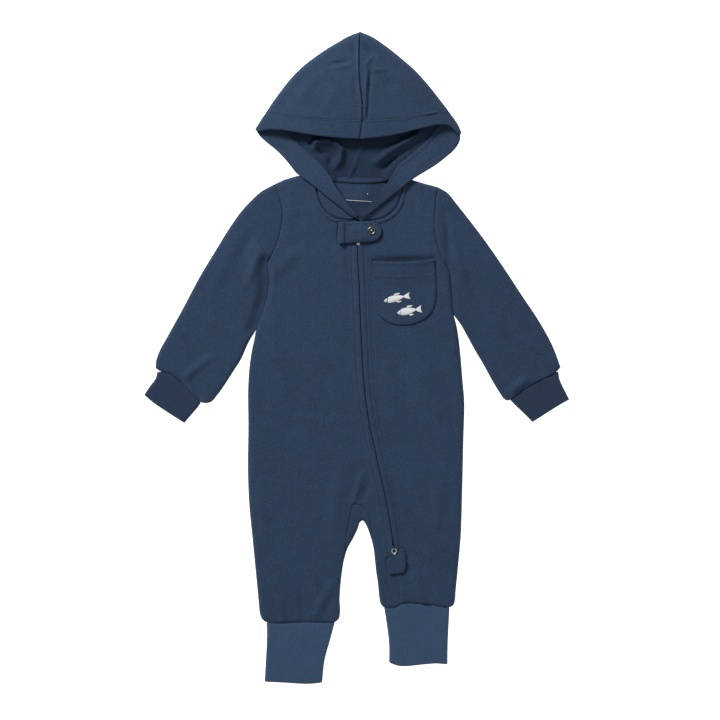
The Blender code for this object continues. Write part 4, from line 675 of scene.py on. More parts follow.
def surface(name, key, **shader):
    """A new material with its colour and its shader's own values, and the tree to work in."""
    made = bpy.data.materials.new(name)
    made.use_nodes = True
    tree = made.node_tree
    principled = tree.nodes["Principled BSDF"]
    tint = (*getattr(bpy.context.scene.romper_colours, key), 1)
    principled.inputs["Base Color"].default_value = tint
    for socket, value in shader.items():
        principled.inputs[socket.replace("_", " ")].default_value = value
    made.diffuse_color = tint
    return made, tree, principled, tint


def scaled(tree, shade, factor, low, high, **reach):
    """A colour made darker or paler by a factor that runs from low to high."""
    span = {k.replace("_", " "): v for k, v in reach.items()}
    span |= {"Value": factor, "To Min": low, "To Max": high}
    amount = node(tree, "ShaderNodeMapRange", span).outputs[0]
    return node(tree, "ShaderNodeVectorMath", {0: shade, "Scale": amount}, operation="SCALE").outputs[0]


def dressed(tree, principled, height, strength, depth, shade=None):
    """Gives the shader its relief, in millimetres deep, and its colour."""
    bump = node(tree, "ShaderNodeBump", {"Height": height, "Strength": strength, "Distance": depth * MM})
    tree.links.new(bump.outputs[0], principled.inputs["Normal"])
    if shade:
        tree.links.new(shade, principled.inputs["Base Color"])


def knitted(name, key, wale, course, relief, clouds, **shader):
    """Knit cloth: columns of V-shaped stitches a wale wide and a course high, in millimetres.

    clouds are the melange of its yarn, as noises with a frequency a millimetre, a stretch and a strength.
    """
    made, tree, principled, tint = surface(name, key, **shader)
    grain = node(tree, "ShaderNodeAttribute", attribute_name="grain").outputs["Vector"]
    axes = node(tree, "ShaderNodeSeparateXYZ", {"Vector": grain})

    def sums(operation, *terms):
        return node(tree, "ShaderNodeMath", dict(enumerate(terms)), operation=operation).outputs[0]

    ridge = sums("COSINE", sums("MULTIPLY", axes.outputs["X"], tau / wale))
    turn = sums("MULTIPLY_ADD", axes.outputs["Y"], tau / course, sums("MULTIPLY", ridge, 1.3))
    height = sums("MULTIPLY_ADD", sums("SINE", turn), 0.5, ridge)
    fuzz = node(tree, "ShaderNodeTexNoise", {"Vector": grain, "Scale": 0.9, "Detail": 4.0}).outputs["Fac"]
    shade = tint[:3]
    for frequency, stretch, strength in clouds:
        scale = (frequency * stretch, frequency, frequency)
        place = node(tree, "ShaderNodeMapping", {"Vector": grain, "Scale": scale}).outputs[0]
        links = {"Vector": place, "Scale": 1.0, "Detail": 3.0}
        fleck = node(tree, "ShaderNodeTexNoise", links).outputs["Fac"]
        shade = scaled(tree, shade, fleck, 1 - strength, 1 + strength, From_Min=0.3, From_Max=0.7)
    # painted shade: the colour darkens where the knit's relief is low, between the stitches
    shade = scaled(tree, shade, height, 0.93, 1.06, From_Min=-1.5, From_Max=1.5)
    dressed(tree, principled, sums("MULTIPLY_ADD", fuzz, 2.5, height), 0.5, relief, shade)
    return made


def plated(name, key, rough):
    """Metal whose polish is uneven where fingers and cloth have rubbed it."""
    made, tree, principled, _ = surface(name, key, Metallic=1.0, Roughness=rough)
    place = node(tree, "ShaderNodeTexCoord").outputs["Object"]
    wear = node(tree, "ShaderNodeTexNoise", {"Vector": place, "Scale": 900.0, "Detail": 3.0}).outputs["Fac"]
    polish = node(tree, "ShaderNodeMapRange", {"Value": wear, "To Min": rough - 0.08, "To Max": rough + 0.12})
    tree.links.new(polish.outputs[0], principled.inputs["Roughness"])
    dressed(tree, principled, wear, 0.15, 0.02)
    return made


def spun(name, key, ply, rough, sheen):
    """Twisted thread: fine slanting plies along the object's own coordinates."""
    made, tree, principled, tint = surface(name, key, Roughness=rough, Sheen_Weight=sheen)
    place = node(tree, "ShaderNodeTexCoord").outputs["Object"]
    turns = {"Vector": place, "Scale": BANDS / (ply * MM), "Distortion": 1.5}
    twist = node(tree, "ShaderNodeTexWave", turns, bands_direction="DIAGONAL").outputs["Fac"]
    # painted shade: the colour darkens in the hollows between the plies, following the same twist as the bump
    dressed(tree, principled, twist, 0.5, 0.05, scaled(tree, tint[:3], twist, 0.85, 1.08))
    return made


def woven(name, key, pitch, rough):
    """Close plain weave of filament yarn, with a faint shine."""
    made, tree, principled, tint = surface(name, key, Roughness=rough, Sheen_Weight=0.03)
    grain = node(tree, "ShaderNodeAttribute", attribute_name="grain").outputs["Vector"]
    links = {"Vector": grain, "Scale": BANDS / pitch}
    warp, weft = (node(tree, "ShaderNodeTexWave", links, bands_direction=axis) for axis in "XY")
    both = {0: warp.outputs["Fac"], 1: weft.outputs["Fac"]}
    cross = node(tree, "ShaderNodeMath", both, operation="MULTIPLY").outputs[0]
    # painted shade: the colour darkens where the weave's relief is low, following the same pattern as the bump
    dressed(tree, principled, cross, 0.5, 0.1, scaled(tree, tint[:3], cross, 0.85, 1.1))
    return made


def finish_of(key):
    """The material of that key, made when it is first asked for."""
    name, _, surface_of, facts = FINISHES[key]
    return bpy.data.materials.get(name) or surface_of(name, **facts)


BANDS = 0.314  # scale of a wave texture whose bands are one unit apart
CLOUDS = [(0.02, 1.0, 0.06), (0.1, 0.85, 0.07), (0.45, 0.85, 0.2), (1.0, 0.9, 0.3)]
RIB_CLOUDS = [(0.02, 1.0, 0.05), (0.12, 0.8, 0.05), (0.6, 0.7, 0.14)]
MATT = {"Roughness": 0.95, "Sheen_Weight": 0.05, "Sheen_Roughness": 0.5}
FINISHES = {  # name, the model's slot, and how the surface is made
    # Cotton sweatshirt jersey, brushed inside: matt with a soft bloom, and a melange of darker and paler yarn
    # that shows as short level flecks. A wale is 0.8 mm in the cloth and drawn at 1.3 mm so that it shows.
    "jersey": (
        "cotton_sweatshirt_jersey", "jersey", knitted,
        {"key": "jersey", "wale": 1.3, "course": 1.0, "relief": 0.16, "clouds": CLOUDS, **MATT},
    ),
    # Wrong side of the same jersey, brushed: a duller and more even face, coloured darker as painted shade for
    # the inside of the hood and the back neck
    "inside": (
        "brushed_jersey_wrong_side", "jersey", knitted,
        {"key": "inside", "wale": 1.3, "course": 1.0, "relief": 0.2, "clouds": CLOUDS, "Roughness": 1.0},
    ),
    # Cotton and elastane rib of the leg cuffs: the ribs themselves are modelled, and the stitches lie along
    # them. Its colour is paler than the sleeve cuffs' rib, as painted light on the leg cuffs
    "rib": (
        "cotton_elastane_rib", "rib", knitted,
        {"key": "rib", "wale": 1.2, "course": 0.9, "relief": 0.12, "clouds": RIB_CLOUDS, **MATT},
    ),
    # The same rib on the sleeves, drawn with closer wales, and coloured darker than the leg cuffs' rib as
    # painted shade on the sleeve cuffs
    "shaded_rib": (
        "close_cotton_elastane_rib", "rib", knitted,
        {"key": "shaded_rib", "wale": 1.0, "course": 0.9, "relief": 0.12, "clouds": RIB_CLOUDS, **MATT},
    ),
    # Polyester label woven on a damask loom: close and a little shiny. Its threads are drawn at 0.5 mm
    "label": ("woven_polyester_label", "label", woven, {"key": "label", "pitch": 0.5, "rough": 0.8}),
    # Polyester zip tape: a firm herringbone that looks darker than the jersey
    "tape": ("polyester_zip_tape", "tape", woven, {"key": "tape", "pitch": 0.8, "rough": 0.7}),
    # Nylon coil, moulded smooth: small even glints on each tooth
    "coil": ("nylon_coil", "tape", spun, {"key": "tape", "ply": 0.7, "rough": 0.38, "sheen": 0.0}),
    # Spun polyester sewing thread: matt, and coloured darker than the cloth as painted shade of the stitches
    # sunk in their grooves
    "thread": (
        "spun_polyester_thread", "jersey", spun,
        {"key": "thread", "ply": 0.35, "rough": 0.75, "sheen": 0.1},
    ),
    # Rayon embroidery thread: white with a silky shine
    "embroidery": (
        "rayon_embroidery_thread", None, spun,
        {"key": "embroidery", "ply": 0.35, "rough": 0.42, "sheen": 0.2},
    ),
    # Brass ring of the press stud, plated in antique finish: warm grey with soft reflections
    "brass": ("antiqued_brass", "metal", plated, {"key": "brass", "rough": 0.32}),
    # Zinc slider, nickel plated: bright and cold
    "nickel": ("nickel_plated_zinc", "metal", plated, {"key": "nickel", "rough": 0.36}),
    # Slider bodies stoved with navy enamel: a hard smooth coat with a soft gloss
    "enamel": ("stoved_enamel_on_zinc", "metal", woven, {"key": "enamel", "pitch": 0.6, "rough": 0.4}),
}


# ---------------------------------------------------------------- meshes


def linked(name, data):
    """An object in the scene with that data."""
    made = bpy.data.objects.new(name, data)
    bpy.context.scene.collection.objects.link(made)
    return made


def placed(name, mesh, body, nodes):
    """A piece that rides its body in place of its CAD nodes, with its finish."""
    piece = linked(name, mesh)
    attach(piece, body)
    if nodes:
        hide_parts(*nodes)
    return piece


def make(name, points, faces, finish, grain=None, nodes=None, tidy=True, lining=(), trim=()):
    """A piece of the garment from points in millimetres, in place of the node of its name or those listed.

    lining holds the faces of the wrong side; trim, meant for the separate pieces on a sheet, is not used.
    """
    key, is_node = name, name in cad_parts
    name = f"{name}_cloth" if is_node else name
    mesh = bpy.data.meshes.new(name)
    mesh.from_pydata((np.asarray(points, float) * MM).tolist(), [], faces)
    if tidy:
        bm = bmesh.new()
        bm.from_mesh(mesh)
        bmesh.ops.recalc_face_normals(bm, faces=bm.faces)
        bm.to_mesh(mesh)
        bm.free()
    mesh.shade_smooth()
    mesh.set_sharp_from_angle(angle=radians(55))
    if grain is not None:
        layer = mesh.attributes.new("grain", "FLOAT_VECTOR", "POINT")
        flat = np.zeros((len(points), 3))
        flat[:, : grain.shape[1]] = grain
        layer.data.foreach_set("vector", flat.ravel())
    mesh.materials.append(finish_of(finish))
    # the wrong side takes the darker finish, which paints the shade inside the hood and the back neck
    if len(lining):
        mesh.materials.append(finish_of("inside"))
        wrong = np.zeros(len(mesh.polygons), np.int32)
        wrong[lining] = 1
        mesh.polygons.foreach_set("material_index", wrong)
    piece = placed(name, mesh, "garment", nodes or ([key] if is_node else ()))
    return piece


def quads(rows, columns, wrap=False):
    """Faces of a grid of points, given row by row."""
    r, c = np.meshgrid(np.arange(rows - 1), np.arange(columns - (not wrap)), indexing="ij")
    n = (c + 1) % columns
    here, after = r * columns, (r + 1) * columns
    return np.stack([here + c, here + n, after + n, after + c], -1).reshape(-1, 4)


def wall(name, outer, inner, finish, grain, wrap=False, **facts):
    """Cloth between two grids of points, closed round its edges."""
    outer, inner = np.array(outer, float), np.array(inner, float)
    rows, columns = outer.shape[:2]
    count = rows * columns
    faces = [quads(rows, columns, wrap), quads(rows, columns, wrap)[:, ::-1] + count]
    index = np.arange(count).reshape(rows, columns)
    edges = [index[0], index[-1]] + ([] if wrap else [index[:, 0], index[:, -1]])
    for edge in edges:
        after = np.roll(edge, -1) if wrap else edge[1:]
        edge = edge[: len(after)]
        faces.append(np.stack([edge, after, after + count, edge + count], -1))
    points = np.vstack([outer.reshape(-1, 3), inner.reshape(-1, 3)])
    grain = np.vstack([grain.reshape(-1, grain.shape[-1])] * 2)
    # the inner faces of jersey take the wrong side's finish, darkened as painted shade
    lining = np.arange(len(faces[0]), 2 * len(faces[0])) if finish == "jersey" else ()
    return make(name, points, np.vstack(faces).tolist(), finish, grain, lining=lining, **facts)


def triangles_over(outline, features, step, reach=5.0):
    """Triangles over an outline, with points twice as close near the listed lines and some right on them."""
    outline = stepped(np.vstack([outline, outline[:1]]), step / 2)[:-1]
    low, high = outline.min(0), outline.max(0)
    half = step / 2
    j = np.arange(int((high[1] - low[1]) / (half * 0.866)) + 2)
    i = np.arange(int((high[0] - low[0]) / half) + 2)
    ii, jj = np.meshgrid(i, j)
    p = np.stack([low[0] + ii * half - (jj % 2) * half / 2, low[1] + jj * half * 0.866], -1).reshape(-1, 2)
    coarse = ((jj % 2 == 0) & ((ii + jj // 2) % 2 == 0)).ravel()
    lines = [*features, np.vstack([outline, outline[:1]])]
    away = nearest(p, [stepped(line, 4.0) for line in lines])
    p = p[coarse | (away < reach)]
    if len(features):
        marks = np.vstack([stepped(line, half) for line in features])
        apart = np.linalg.norm(marks[:, None] - marks[None], axis=2) + 9.0 * np.tri(len(marks)).T
        marks = marks[apart.min(1) > half * 0.4]
        p = np.vstack([p[nearest(p, features) > half * 0.45], marks])
    p = p[nearest(p, lines[-1:]) > half * 0.6]
    points = np.vstack([outline, p[inside(p, outline)]])
    ring = list(range(len(outline)))
    verts, _, faces, *_ = delaunay_2d_cdt([tuple(q) for q in points], [], [ring], 1, 1e-5)
    return np.array([tuple(v) for v in verts]), np.array([list(f) for f in faces])


def panel(name, outline, faces_at, finish, features=(), step=None, **facts):
    """Cloth between two height fields over an outline. faces_at gives the top and the underside."""
    points, triangles = triangles_over(np.array(outline, float), features, step or size("step"))
    top, under = faces_at(points)
    count = len(points)
    faces = [*triangles.tolist(), *(triangles[:, ::-1] + count).tolist()]
    edges = np.vstack([triangles[:, [0, 1]], triangles[:, [1, 2]], triangles[:, [2, 0]]])
    uses = {tuple(e) for e in edges.tolist()}
    faces += [[b, a, a + count, b + count] for a, b in uses if (b, a) not in uses]
    both = np.vstack([np.column_stack([points, top]), np.column_stack([points, under])])
    return make(name, both, faces, finish, np.vstack([points, points]), **facts)


def spaced(count, packed=0.6):
    """Shares from 0 to 1 that lie closer together towards both ends."""
    s = np.linspace(0, 1, count)
    return packed * (1 - np.cos(pi * s)) / 2 + (1 - packed) * s


def coons(near, far, left, right, us, vs):
    """Plan points between four edges: near and far run to the right, left and right from near to far."""
    a, b = along(near, us)[None], along(far, us)[None]
    c, d = along(left, vs)[:, None], along(right, vs)[:, None]
    u, v = us[None, :, None], vs[:, None, None]
    corners = (1 - v) * ((1 - u) * a[:, :1] + u * a[:, -1:]) + v * ((1 - u) * b[:, :1] + u * b[:, -1:])
    return (1 - v) * a + v * b + (1 - u) * c + u * d - corners


def inset_rows(plan, start, end):
    """Rows of plan points drawn in by a distance at their start and end."""
    made = []
    for row in plan:
        run = run_of(row)
        made.append(at_runs(row, start + run * (run[-1] - start - end) / run[-1]))
    return np.array(made)


def tube(name, near, far, left, right, form, finish, lift, columns, rows, hem=False, **facts):
    """A flattened tube of two layers, open at its ends. lift gives the rise of the upper layer."""
    plan = coons(near, far, left, right, columns, rows)
    inner = inset_rows(plan, form.cloth, form.cloth)
    shape = plan.shape[:2]
    layers = []
    for points, least in ((plan, 0.0), (inner, form.cloth)):
        flat = points.reshape(-1, 2)
        d = np.maximum(nearest(flat, [left, right]), least).reshape(shape)
        d[:, [0, -1]] = least
        d = d.ravel()
        top, under, over, low = skins(d, form.height, form.cloth, form.roll, form.middle)
        raised, ribs = lift(flat, points)
        raised = raised * rise(d / (2 * form.roll))
        if hem:
            end = 0.5 * form.cloth * (1 - rise(distance(flat, far) / (0.5 * form.cloth)))
            top, under, over, low = top - end, under + end, over - end, low + end
        pair = (top + raised + ribs, low - ribs * rise(d / 4)) if not least else (under + raised, over)
        layers.append([np.column_stack([flat, np.maximum(z, 0)]).reshape(*shape, 3) for z in pair])
    outer, lining = (np.concatenate([up, down[:, -2:0:-1]], axis=1) for up, down in layers)
    widths = np.linalg.norm(np.diff(plan, axis=1), axis=2).sum(1).mean()
    lengths = run_of(plan[:, shape[1] // 2])
    u = np.concatenate([columns, 2 - columns[-2:0:-1]]) * widths
    grain = np.stack(np.broadcast_arrays(u[None, :], lengths[:, None]), -1)
    return wall(name, outer, lining, finish, grain, wrap=True, **facts)


def folded_sheet(name, upper, lower, rim, height, form, lifts, finish, **facts):
    """Cloth folded over a rim: rows of upper run from its free edge to the rim, and lower on from there."""
    skin, lining = [], []
    for plan, is_upper in ((upper, True), (lower, False)):
        drawn = inset_rows(plan, 0, form.cloth) if is_upper else inset_rows(plan, form.cloth, 0)
        for points, least, side in ((plan, 0.0, skin), (drawn, form.cloth, lining)):
            flat = points.reshape(-1, 2)
            end = points[:, -1:] if is_upper else points[:, :1]
            depth = np.linalg.norm(points - end, axis=2).ravel() + least
            d = np.maximum(np.minimum(nearest(flat, [rim]), depth), least)
            faces = skins(d, height(flat), form.cloth, form.roll, form.middle)
            z = faces[1 if least else 0] if is_upper else faces[2 if least else 3]
            raised = lifts[0 if is_upper else 1](flat) * rise(d / (3 * form.roll))
            z = z + (raised if is_upper else np.maximum(raised, 0))
            grid = np.column_stack([flat, np.maximum(z, 0)]).reshape(*points.shape[:2], 3)
            side.append(grid if is_upper else grid[:, 1:])
    outer, inner = np.concatenate(skin, axis=1), np.concatenate(lining, axis=1)
    return wall(name, outer, inner, finish, outer[:, :, :2], **facts)


def thickened(middle, cloth):
    """The two skins of cloth on either side of a grid of points. cloth may vary from point to point."""
    normal = np.cross(np.gradient(middle, axis=0), np.gradient(middle, axis=1))
    normal /= np.linalg.norm(normal, axis=2)[:, :, None]
    offset = normal * np.broadcast_to(cloth, middle.shape[:2])[:, :, None] / 2
    return middle + offset, middle - offset


def threads(name, starts, ends, radius, finish, arch=0.3):
    """A short rounded thread between each pair of points, arched over the cloth."""
    starts, ends = np.array(starts, float), np.array(ends, float)
    shares = np.array([0, 0.1, 0.3, 0.7, 0.9, 1])
    girth = np.array([0.25, 0.8, 1, 1, 0.8, 0.25]) * radius
    turns = np.arange(6) * tau / 6
    step = ends - starts
    side = np.cross(step, [0, 0, 1.0])
    side /= np.linalg.norm(side, axis=1)[:, None]
    up = np.cross(side, step)
    up /= np.linalg.norm(up, axis=1)[:, None]
    middle = starts[:, None] + shares[None, :, None] * step[:, None]
    middle += up[:, None] * (arch * np.sin(pi * shares) * 2 * radius)[None, :, None]
    cosine, sine = (wave(turns)[None, None, :, None] for wave in (np.cos, np.sin))
    ring = side[:, None, None] * cosine + up[:, None, None] * sine
    points = middle[:, :, None] + ring * girth[None, :, None, None]
    count, rows = len(starts), len(shares)
    base = (np.arange(count) * rows * 6)[:, None, None]
    body = (quads(rows, 6, True)[None] + base).reshape(-1, 4)
    caps = [[*range(5, -1, -1)], [*range((rows - 1) * 6, rows * 6)]]
    faces = [*body.tolist(), *(np.array(caps)[None] + base).reshape(-1, 6).tolist()]
    return make(name, points.reshape(-1, 3), faces, finish, tidy=False)


def stitch_rows(name, lines):
    """Topstitching along lines of points on the cloth."""
    pitch, radius = size("stitch"), size("thread") / 2
    starts, ends = [], []
    for line in lines:
        line = np.array(line, float)
        first = np.arange(0.3 * pitch, run_of(line)[-1] - pitch, pitch)
        starts.append(at_runs(line, first))
        ends.append(at_runs(line, first + 0.8 * pitch))
    return threads(name, np.vstack(starts), np.vstack(ends), radius, "thread")


def on_cloth(line, top, lift=0.05):
    """A plan line laid on cloth whose height top gives."""
    line = stepped(line, 1.5)
    return np.column_stack([line, top(line) + lift])


# ---------------------------------------------------------------- body


def zip_gap(points):
    """Half of the gap between the fronts along the zip."""
    sliders = [np.linalg.norm(points - np.array(s), axis=1) for s in (TOP_SLIDER, LOW_SLIDER)]
    open_up = np.maximum(*(fade((d - 3.8) / 9.0) for d in sliders))
    shut = fade((points[:, 1] - ZIP_END_Y) / 8)
    return ZIP_GAP + 0.8 * open_up - (ZIP_GAP - HALF_SEAM) * shut


def sewn(line, turn=1):
    """A seam line moved by the lap, to the left of its direction or, for a turn of -1, to the right."""
    return shifted(smooth(line), turn * HALF_SEAM)


def leg_end(after):
    """The left leg's end on one side of the seam below the zip."""
    line = sewn(LEFT.leg_end)
    x = ZIP_LINE[-1][0]
    return line[line[:, 0] > x + 1] if after else line[line[:, 0] < x - 1]


def crotch_runs():
    """Edge of the fronts and the back along both inseams and the gusset's seam."""
    seam = shifted(gusset_seam(), -HALF_SEAM)
    right, left = smooth(RIGHT.inseam), smooth(LEFT.inseam)
    right = right[right[:, 1] < seam[-1][1] - 1]
    left = left[left[:, 1] < seam[0][1] - 1]
    return [right[::-1], seam[::-1], left]


def right_runs():
    """Edges of the wearer's right side, from the neck to the leg's end and over the crotch."""
    shoulder = np.array(RIGHT.shoulder, float)
    side = shifted(side_line(RIGHT), HALF_SEAM)
    return [shoulder, sewn(RIGHT.armhole), side, sewn(RIGHT.leg_end), *crotch_runs()]


def left_runs():
    """Edges of the wearer's left side, from the leg's end up to the neck."""
    seams = [side_line(LEFT)[::-1], smooth(LEFT.armhole)[::-1]]
    return [*(shifted(line, HALF_SEAM) for line in seams), np.array(LEFT.shoulder, float)[::-1]]


def build_fronts():
    """Both fronts, parted by the zip's slot."""
    features = [ZIP, *BODY_EDGES, *SEAMS, *NECK_EDGES, *ZIP_STITCHES, *NECK_STITCHES, *PRESSED]
    gap = zip_gap(ZIP)
    neck = sewn(NECK_FRONT_RIGHT)
    right = [neck[neck[:, 0] < 0], *right_runs(), leg_end(after=False), shifted(ZIP, -gap)[::-1]]
    neck = sewn(NECK_FRONT_LEFT[::-1])
    left = [leg_end(after=True), *left_runs(), neck[neck[:, 0] > 2], shifted(ZIP, gap)]
    for name, runs in (("front_right", right), ("front_left", left)):
        panel(name, np.vstack(runs), front_faces, "jersey", features)


def build_back():
    """The back in one piece, with the tape on its neck seam."""
    runs = [sewn(NECK_BACK), *right_runs(), sewn(LEFT.leg_end), *left_runs()]
    step, tape = 1.5 * size("step"), build_neck_tape()
    panel("back", np.vstack(runs), back_faces, "jersey", BODY_EDGES, step, trim=[tape])


def build_gusset():
    """The gusset, folded over the edge between the legs."""
    seam = shifted(gusset_seam(), HALF_SEAM)[::-1]
    right, left = smooth(RIGHT.inseam), smooth(LEFT.inseam)
    right = right[right[:, 1] > seam[0][1] + 0.5][::-1]
    left = left[left[:, 1] > seam[-1][1] + 0.5][1:]
    rim = np.vstack([seam[:1], right, left, seam[-1:]])
    ends = np.linspace(0.004, 0.996, 80)
    seam, rim = along(seam, ends), along(rim, ends)
    start, end = np.array([seam[0], rim[0]]), np.array([seam[-1], rim[-1]])
    plan = coons(seam, rim, start, end, spaced(60), spaced(24))
    plan = plan.transpose(1, 0, 2)

    def lift(points):
        dip = groove(distance(points, seam), *SEAM_GROOVE)
        return dip + 0.5 * fade((distance(points, seam) - 4) / 3) + ripple(points, 2.0) * 0.6

    level, flat = (lambda p: np.full(len(p), BODY_HEIGHT)), (lambda p: np.zeros(len(p)))
    folded_sheet("crotch_gusset", plan, plan[:, ::-1], rim, level, BODY_FORM, (lift, flat), "jersey")


def build_sleeves():
    """Both sleeves, sunk where they lie against the body."""
    for side, sign, tuck, reach in ((RIGHT, -1, 5.0, 15.0), (LEFT, 1, 1.0, 8.0)):
        armhole, end = sewn(side.armhole, sign), sewn(side.sleeve_end, -sign)
        outer = smooth([(x, y) for x, y, _, _ in side.sleeve])
        body = contact(side)
        free = smooth([(x, y) for _, _, x, y in side.sleeve[len(body) - 1 :]])
        inner = shifted(np.vstack([body[:-1], free]), sign * HALF_SEAM)
        outer[0], inner[0] = armhole[0], armhole[-1]
        outer[-1], inner[-1] = end[0], end[-1]
        under_body = stepped(np.array(body, float), 6.0)

        def lift(points, _, under_body=under_body, tuck=tuck, reach=reach):
            near_body = -tuck * fade(distance(points, under_body) / reach)
            seams = groove(nearest(points, [armhole, end]), *SEAM_GROOVE)
            raised = folded(points, SLEEVE_FOLDS) + near_body + ripple(points, sign * 4.0)
            return raised, seams * rise(distance(points, outer) / 4)

        columns, rows = spaced(64), spaced(112, 0.3)
        tube(f"sleeve_{side.name}", armhole, end, outer, inner, BODY_FORM, "jersey", lift, columns, rows)


def build_cuffs():
    """The four rib cuffs, with whole ribs all round."""
    for side, sign in ((RIGHT, -1), (LEFT, 1)):
        for name, finish, seam, sections, hem, turn in (
            # the sleeve cuffs take the rib darkened as painted shade
            (f"sleeve_cuff_{side.name}", "shaded_rib", side.sleeve_end, side.cuff, side.cuff_hem, sign),
            (f"leg_cuff_{side.name}", "rib", side.leg_end, side.leg_cuff, side.leg_hem, -1),
        ):
            seam = sewn(seam, turn)
            outer = smooth([(a, b) for a, b, _, _ in sections])
            inner = smooth([(c, d) for _, _, c, d in sections])
            gaps = [np.linalg.norm(seam - line[0], axis=1) for line in (outer, inner)]
            seam = seam[int(np.argmin(gaps[0])) + 1 : int(np.argmin(gaps[1]))]
            seam = np.vstack([outer[:1], seam, inner[:1]])
            ribs = round(run_of(seam)[-1] / size("rib"))
            columns = np.linspace(0, 1, 6 * ribs + 1)

            def lift(points, grid, ribs=ribs, columns=columns, seam=seam, seed=len(name) * sign):
                wave = np.cos(tau * ribs * np.broadcast_to(columns, grid.shape[:2])).ravel()
                fold = groove(distance(points, seam), 3.0, 1.2) + 0.7 * ripple(points, seed)
                return fold, 0.5 * size("rib_depth") * wave * rise(distance(points, seam) / 4)

            rows = spaced(30, 0.7)
            tube(name, seam, smooth(hem), outer, inner, CUFF_FORM, finish, lift, columns, rows, hem=True)


# ---------------------------------------------------------------- hood


def hood_plans(columns, seam_shift, count=56):
    """Plan points of one half of the hood: its upper layer and its back layer, a row for each column."""
    table = np.array([(*row, 6.0 * k) for k, row in enumerate(columns)], float)
    dense = smooth(table, 3.2)
    upper, lower = [], []
    for hem_x, hem_y, rim_x, rim_y, low_x, low_y, k in dense:
        weight = max(0.0, 1 - k / 30) ** 2
        shift = seam_shift if k < 0.01 else 0.0
        rim = np.array([rim_x, rim_y])
        for end, seam, side in (
            ((hem_x, hem_y + HALF_SEAM), HOOD_TOP_SEAM[::-1], upper),
            ((low_x, low_y + HALF_SEAM), HOOD_BACK_SEAM, lower),
        ):
            shares = spaced(count)
            p = rim + shares[:, None] * (np.array(end) - rim)
            curve = along(smooth(seam), shares)
            chord = curve[0] + shares[:, None] * (np.array(seam[-1], float) - seam[0])
            p[:, 0] += weight * (curve - chord)[:, 0] + shift
            side.append(p[::-1] if side is upper else p)
    return np.array(upper), np.array(lower)


def build_hood():
    """Both halves of the hood, each folded over its rim."""
    for name, columns, sign in (("hood_right", HOOD_RIGHT, -1), ("hood_left", HOOD_LEFT, 1)):
        upper, lower = hood_plans(columns, sign * HALF_SEAM)
        hem = upper[:, 0]

        def top_lift(points, hem=hem):
            return hood_top_lift(points) + groove(distance(points, hem), 1.8, 0.6)

        lifts = (top_lift, hood_inside_lift)
        folded_sheet(name, upper, lower, HOOD_RIM, hood_height, HOOD_FORM, lifts, "jersey")


def hem_rows(top, corner, low, sign, across=16):
    """Middle of the hem's cloth: a row of points from its free edge to its seam, all along it."""
    shares = np.linspace(0, 1, across)[:, None]
    rows = []
    for fx, fy, sx, sy, *_ in top:
        p = np.array([fx, fy]) + shares * np.array([sx - fx, sy - fy])
        rows.append(np.column_stack([p, hood_height(p) - HEM / 2]))
    free, _, seam = (np.array(p, float) for p in corner)
    bowed = along(smooth(corner, 1.0), shares[:, 0])
    across_corner = (seam - free) / np.linalg.norm(seam - free)
    inward = np.array([across_corner[1], -across_corner[0]]) * -sign
    radius = HOOD_MIDDLE - HEM / 2
    for angle in (80, 45, 0, -45, -90):
        drawn = 0.3 + 0.7 * shares if angle < 0 else 1.0
        p = bowed + inward * (HEM / 2 + radius * (1 - cos(radians(angle)))) * drawn
        rows.append(np.column_stack([p, np.full(across, HOOD_MIDDLE + radius * sin(radians(angle)))]))
    for fx, fy, sx, sy, free_lift, seam_lift in low:
        p = np.array([fx, fy]) + shares * np.array([sx - fx, sy - fy])
        rows.append(np.column_stack([p, free_lift + shares[:, 0] * (seam_lift - free_lift) + HEM / 2]))
    rows = np.array(rows)
    dense = smooth(rows.reshape(len(rows), -1), 9.0).reshape(-1, across, 3)
    dense[0, :, 0] += sign * HALF_SEAM
    cut = dense[:, -1, :2] - dense[:, 0, :2]
    dense[:, -1, :2] += cut / np.linalg.norm(cut, axis=1)[:, None] * HEM_LAP
    return dense


def build_hood_hem():
    """The turned hem of the face opening, which turns over as a lapel at each side."""
    lines = []
    for name, top, corner, low, sign in (
        ("hood_hem_right", HEM_TOP_RIGHT, HEM_CORNER_RIGHT, HEM_LOW_RIGHT, -1),
        ("hood_hem_left", HEM_TOP_LEFT, HEM_CORNER_LEFT, HEM_LOW_LEFT, 1),
    ):
        rows = hem_rows(top, corner, low, sign)
        places = spaced(36, 0.8)
        rows = np.array([along(row, places) for row in rows])
        widths = run_of(rows[len(rows) // 3])[-1]
        across = places * widths
        edge = 0.25 + 0.75 * rise(across / 1.6)
        turn = (np.array(corner[0]) + np.array(corner[2])) / 2
        from_turn = np.linalg.norm(rows[:, len(places) // 2, :2] - turn, axis=1)
        thinned = (1 - rise((across[-1] - across) / 1.8))[None, :]
        far = 1 - (0.65 - 0.5 * fade(from_turn / 16))[:, None] * thinned
        pressed = 1 - 0.3 * fade(abs(across - across[-1] + HEM_INSET) / 1.2)
        cloth = HEM * (edge * pressed)[None, :] * far
        outer, inner = thickened(rows, cloth)
        if outer[0, 8, 2] < inner[0, 8, 2]:
            outer, inner = inner, outer
        wave = ripple(outer.reshape(-1, 3)[:, :2], 6.0 + sign).reshape(outer.shape[:2]) * 0.5
        outer[..., 2] += wave * edge[None, :]
        outer[0, :, 2] -= 1.7 * edge
        inner[..., 2] += wave * edge[None, :]
        inner[..., 2] = np.maximum(inner[..., 2], 0)
        outer[..., 2] = np.maximum(outer[..., 2], inner[..., 2] + 0.2)
        run = run_of(rows[:, 0])
        grain = np.stack(np.broadcast_arrays(run[:, None], across[None, :]), -1)
        wall(name, outer, inner, "jersey", grain)
        mark = int(np.argmin(abs(across - across[-1] + HEM_INSET)))
        face = np.maximum(outer[:, mark], inner[:, mark])
        lines.append(face[1:-2])
    stitch_rows("topstitching_hood_hem", lines)


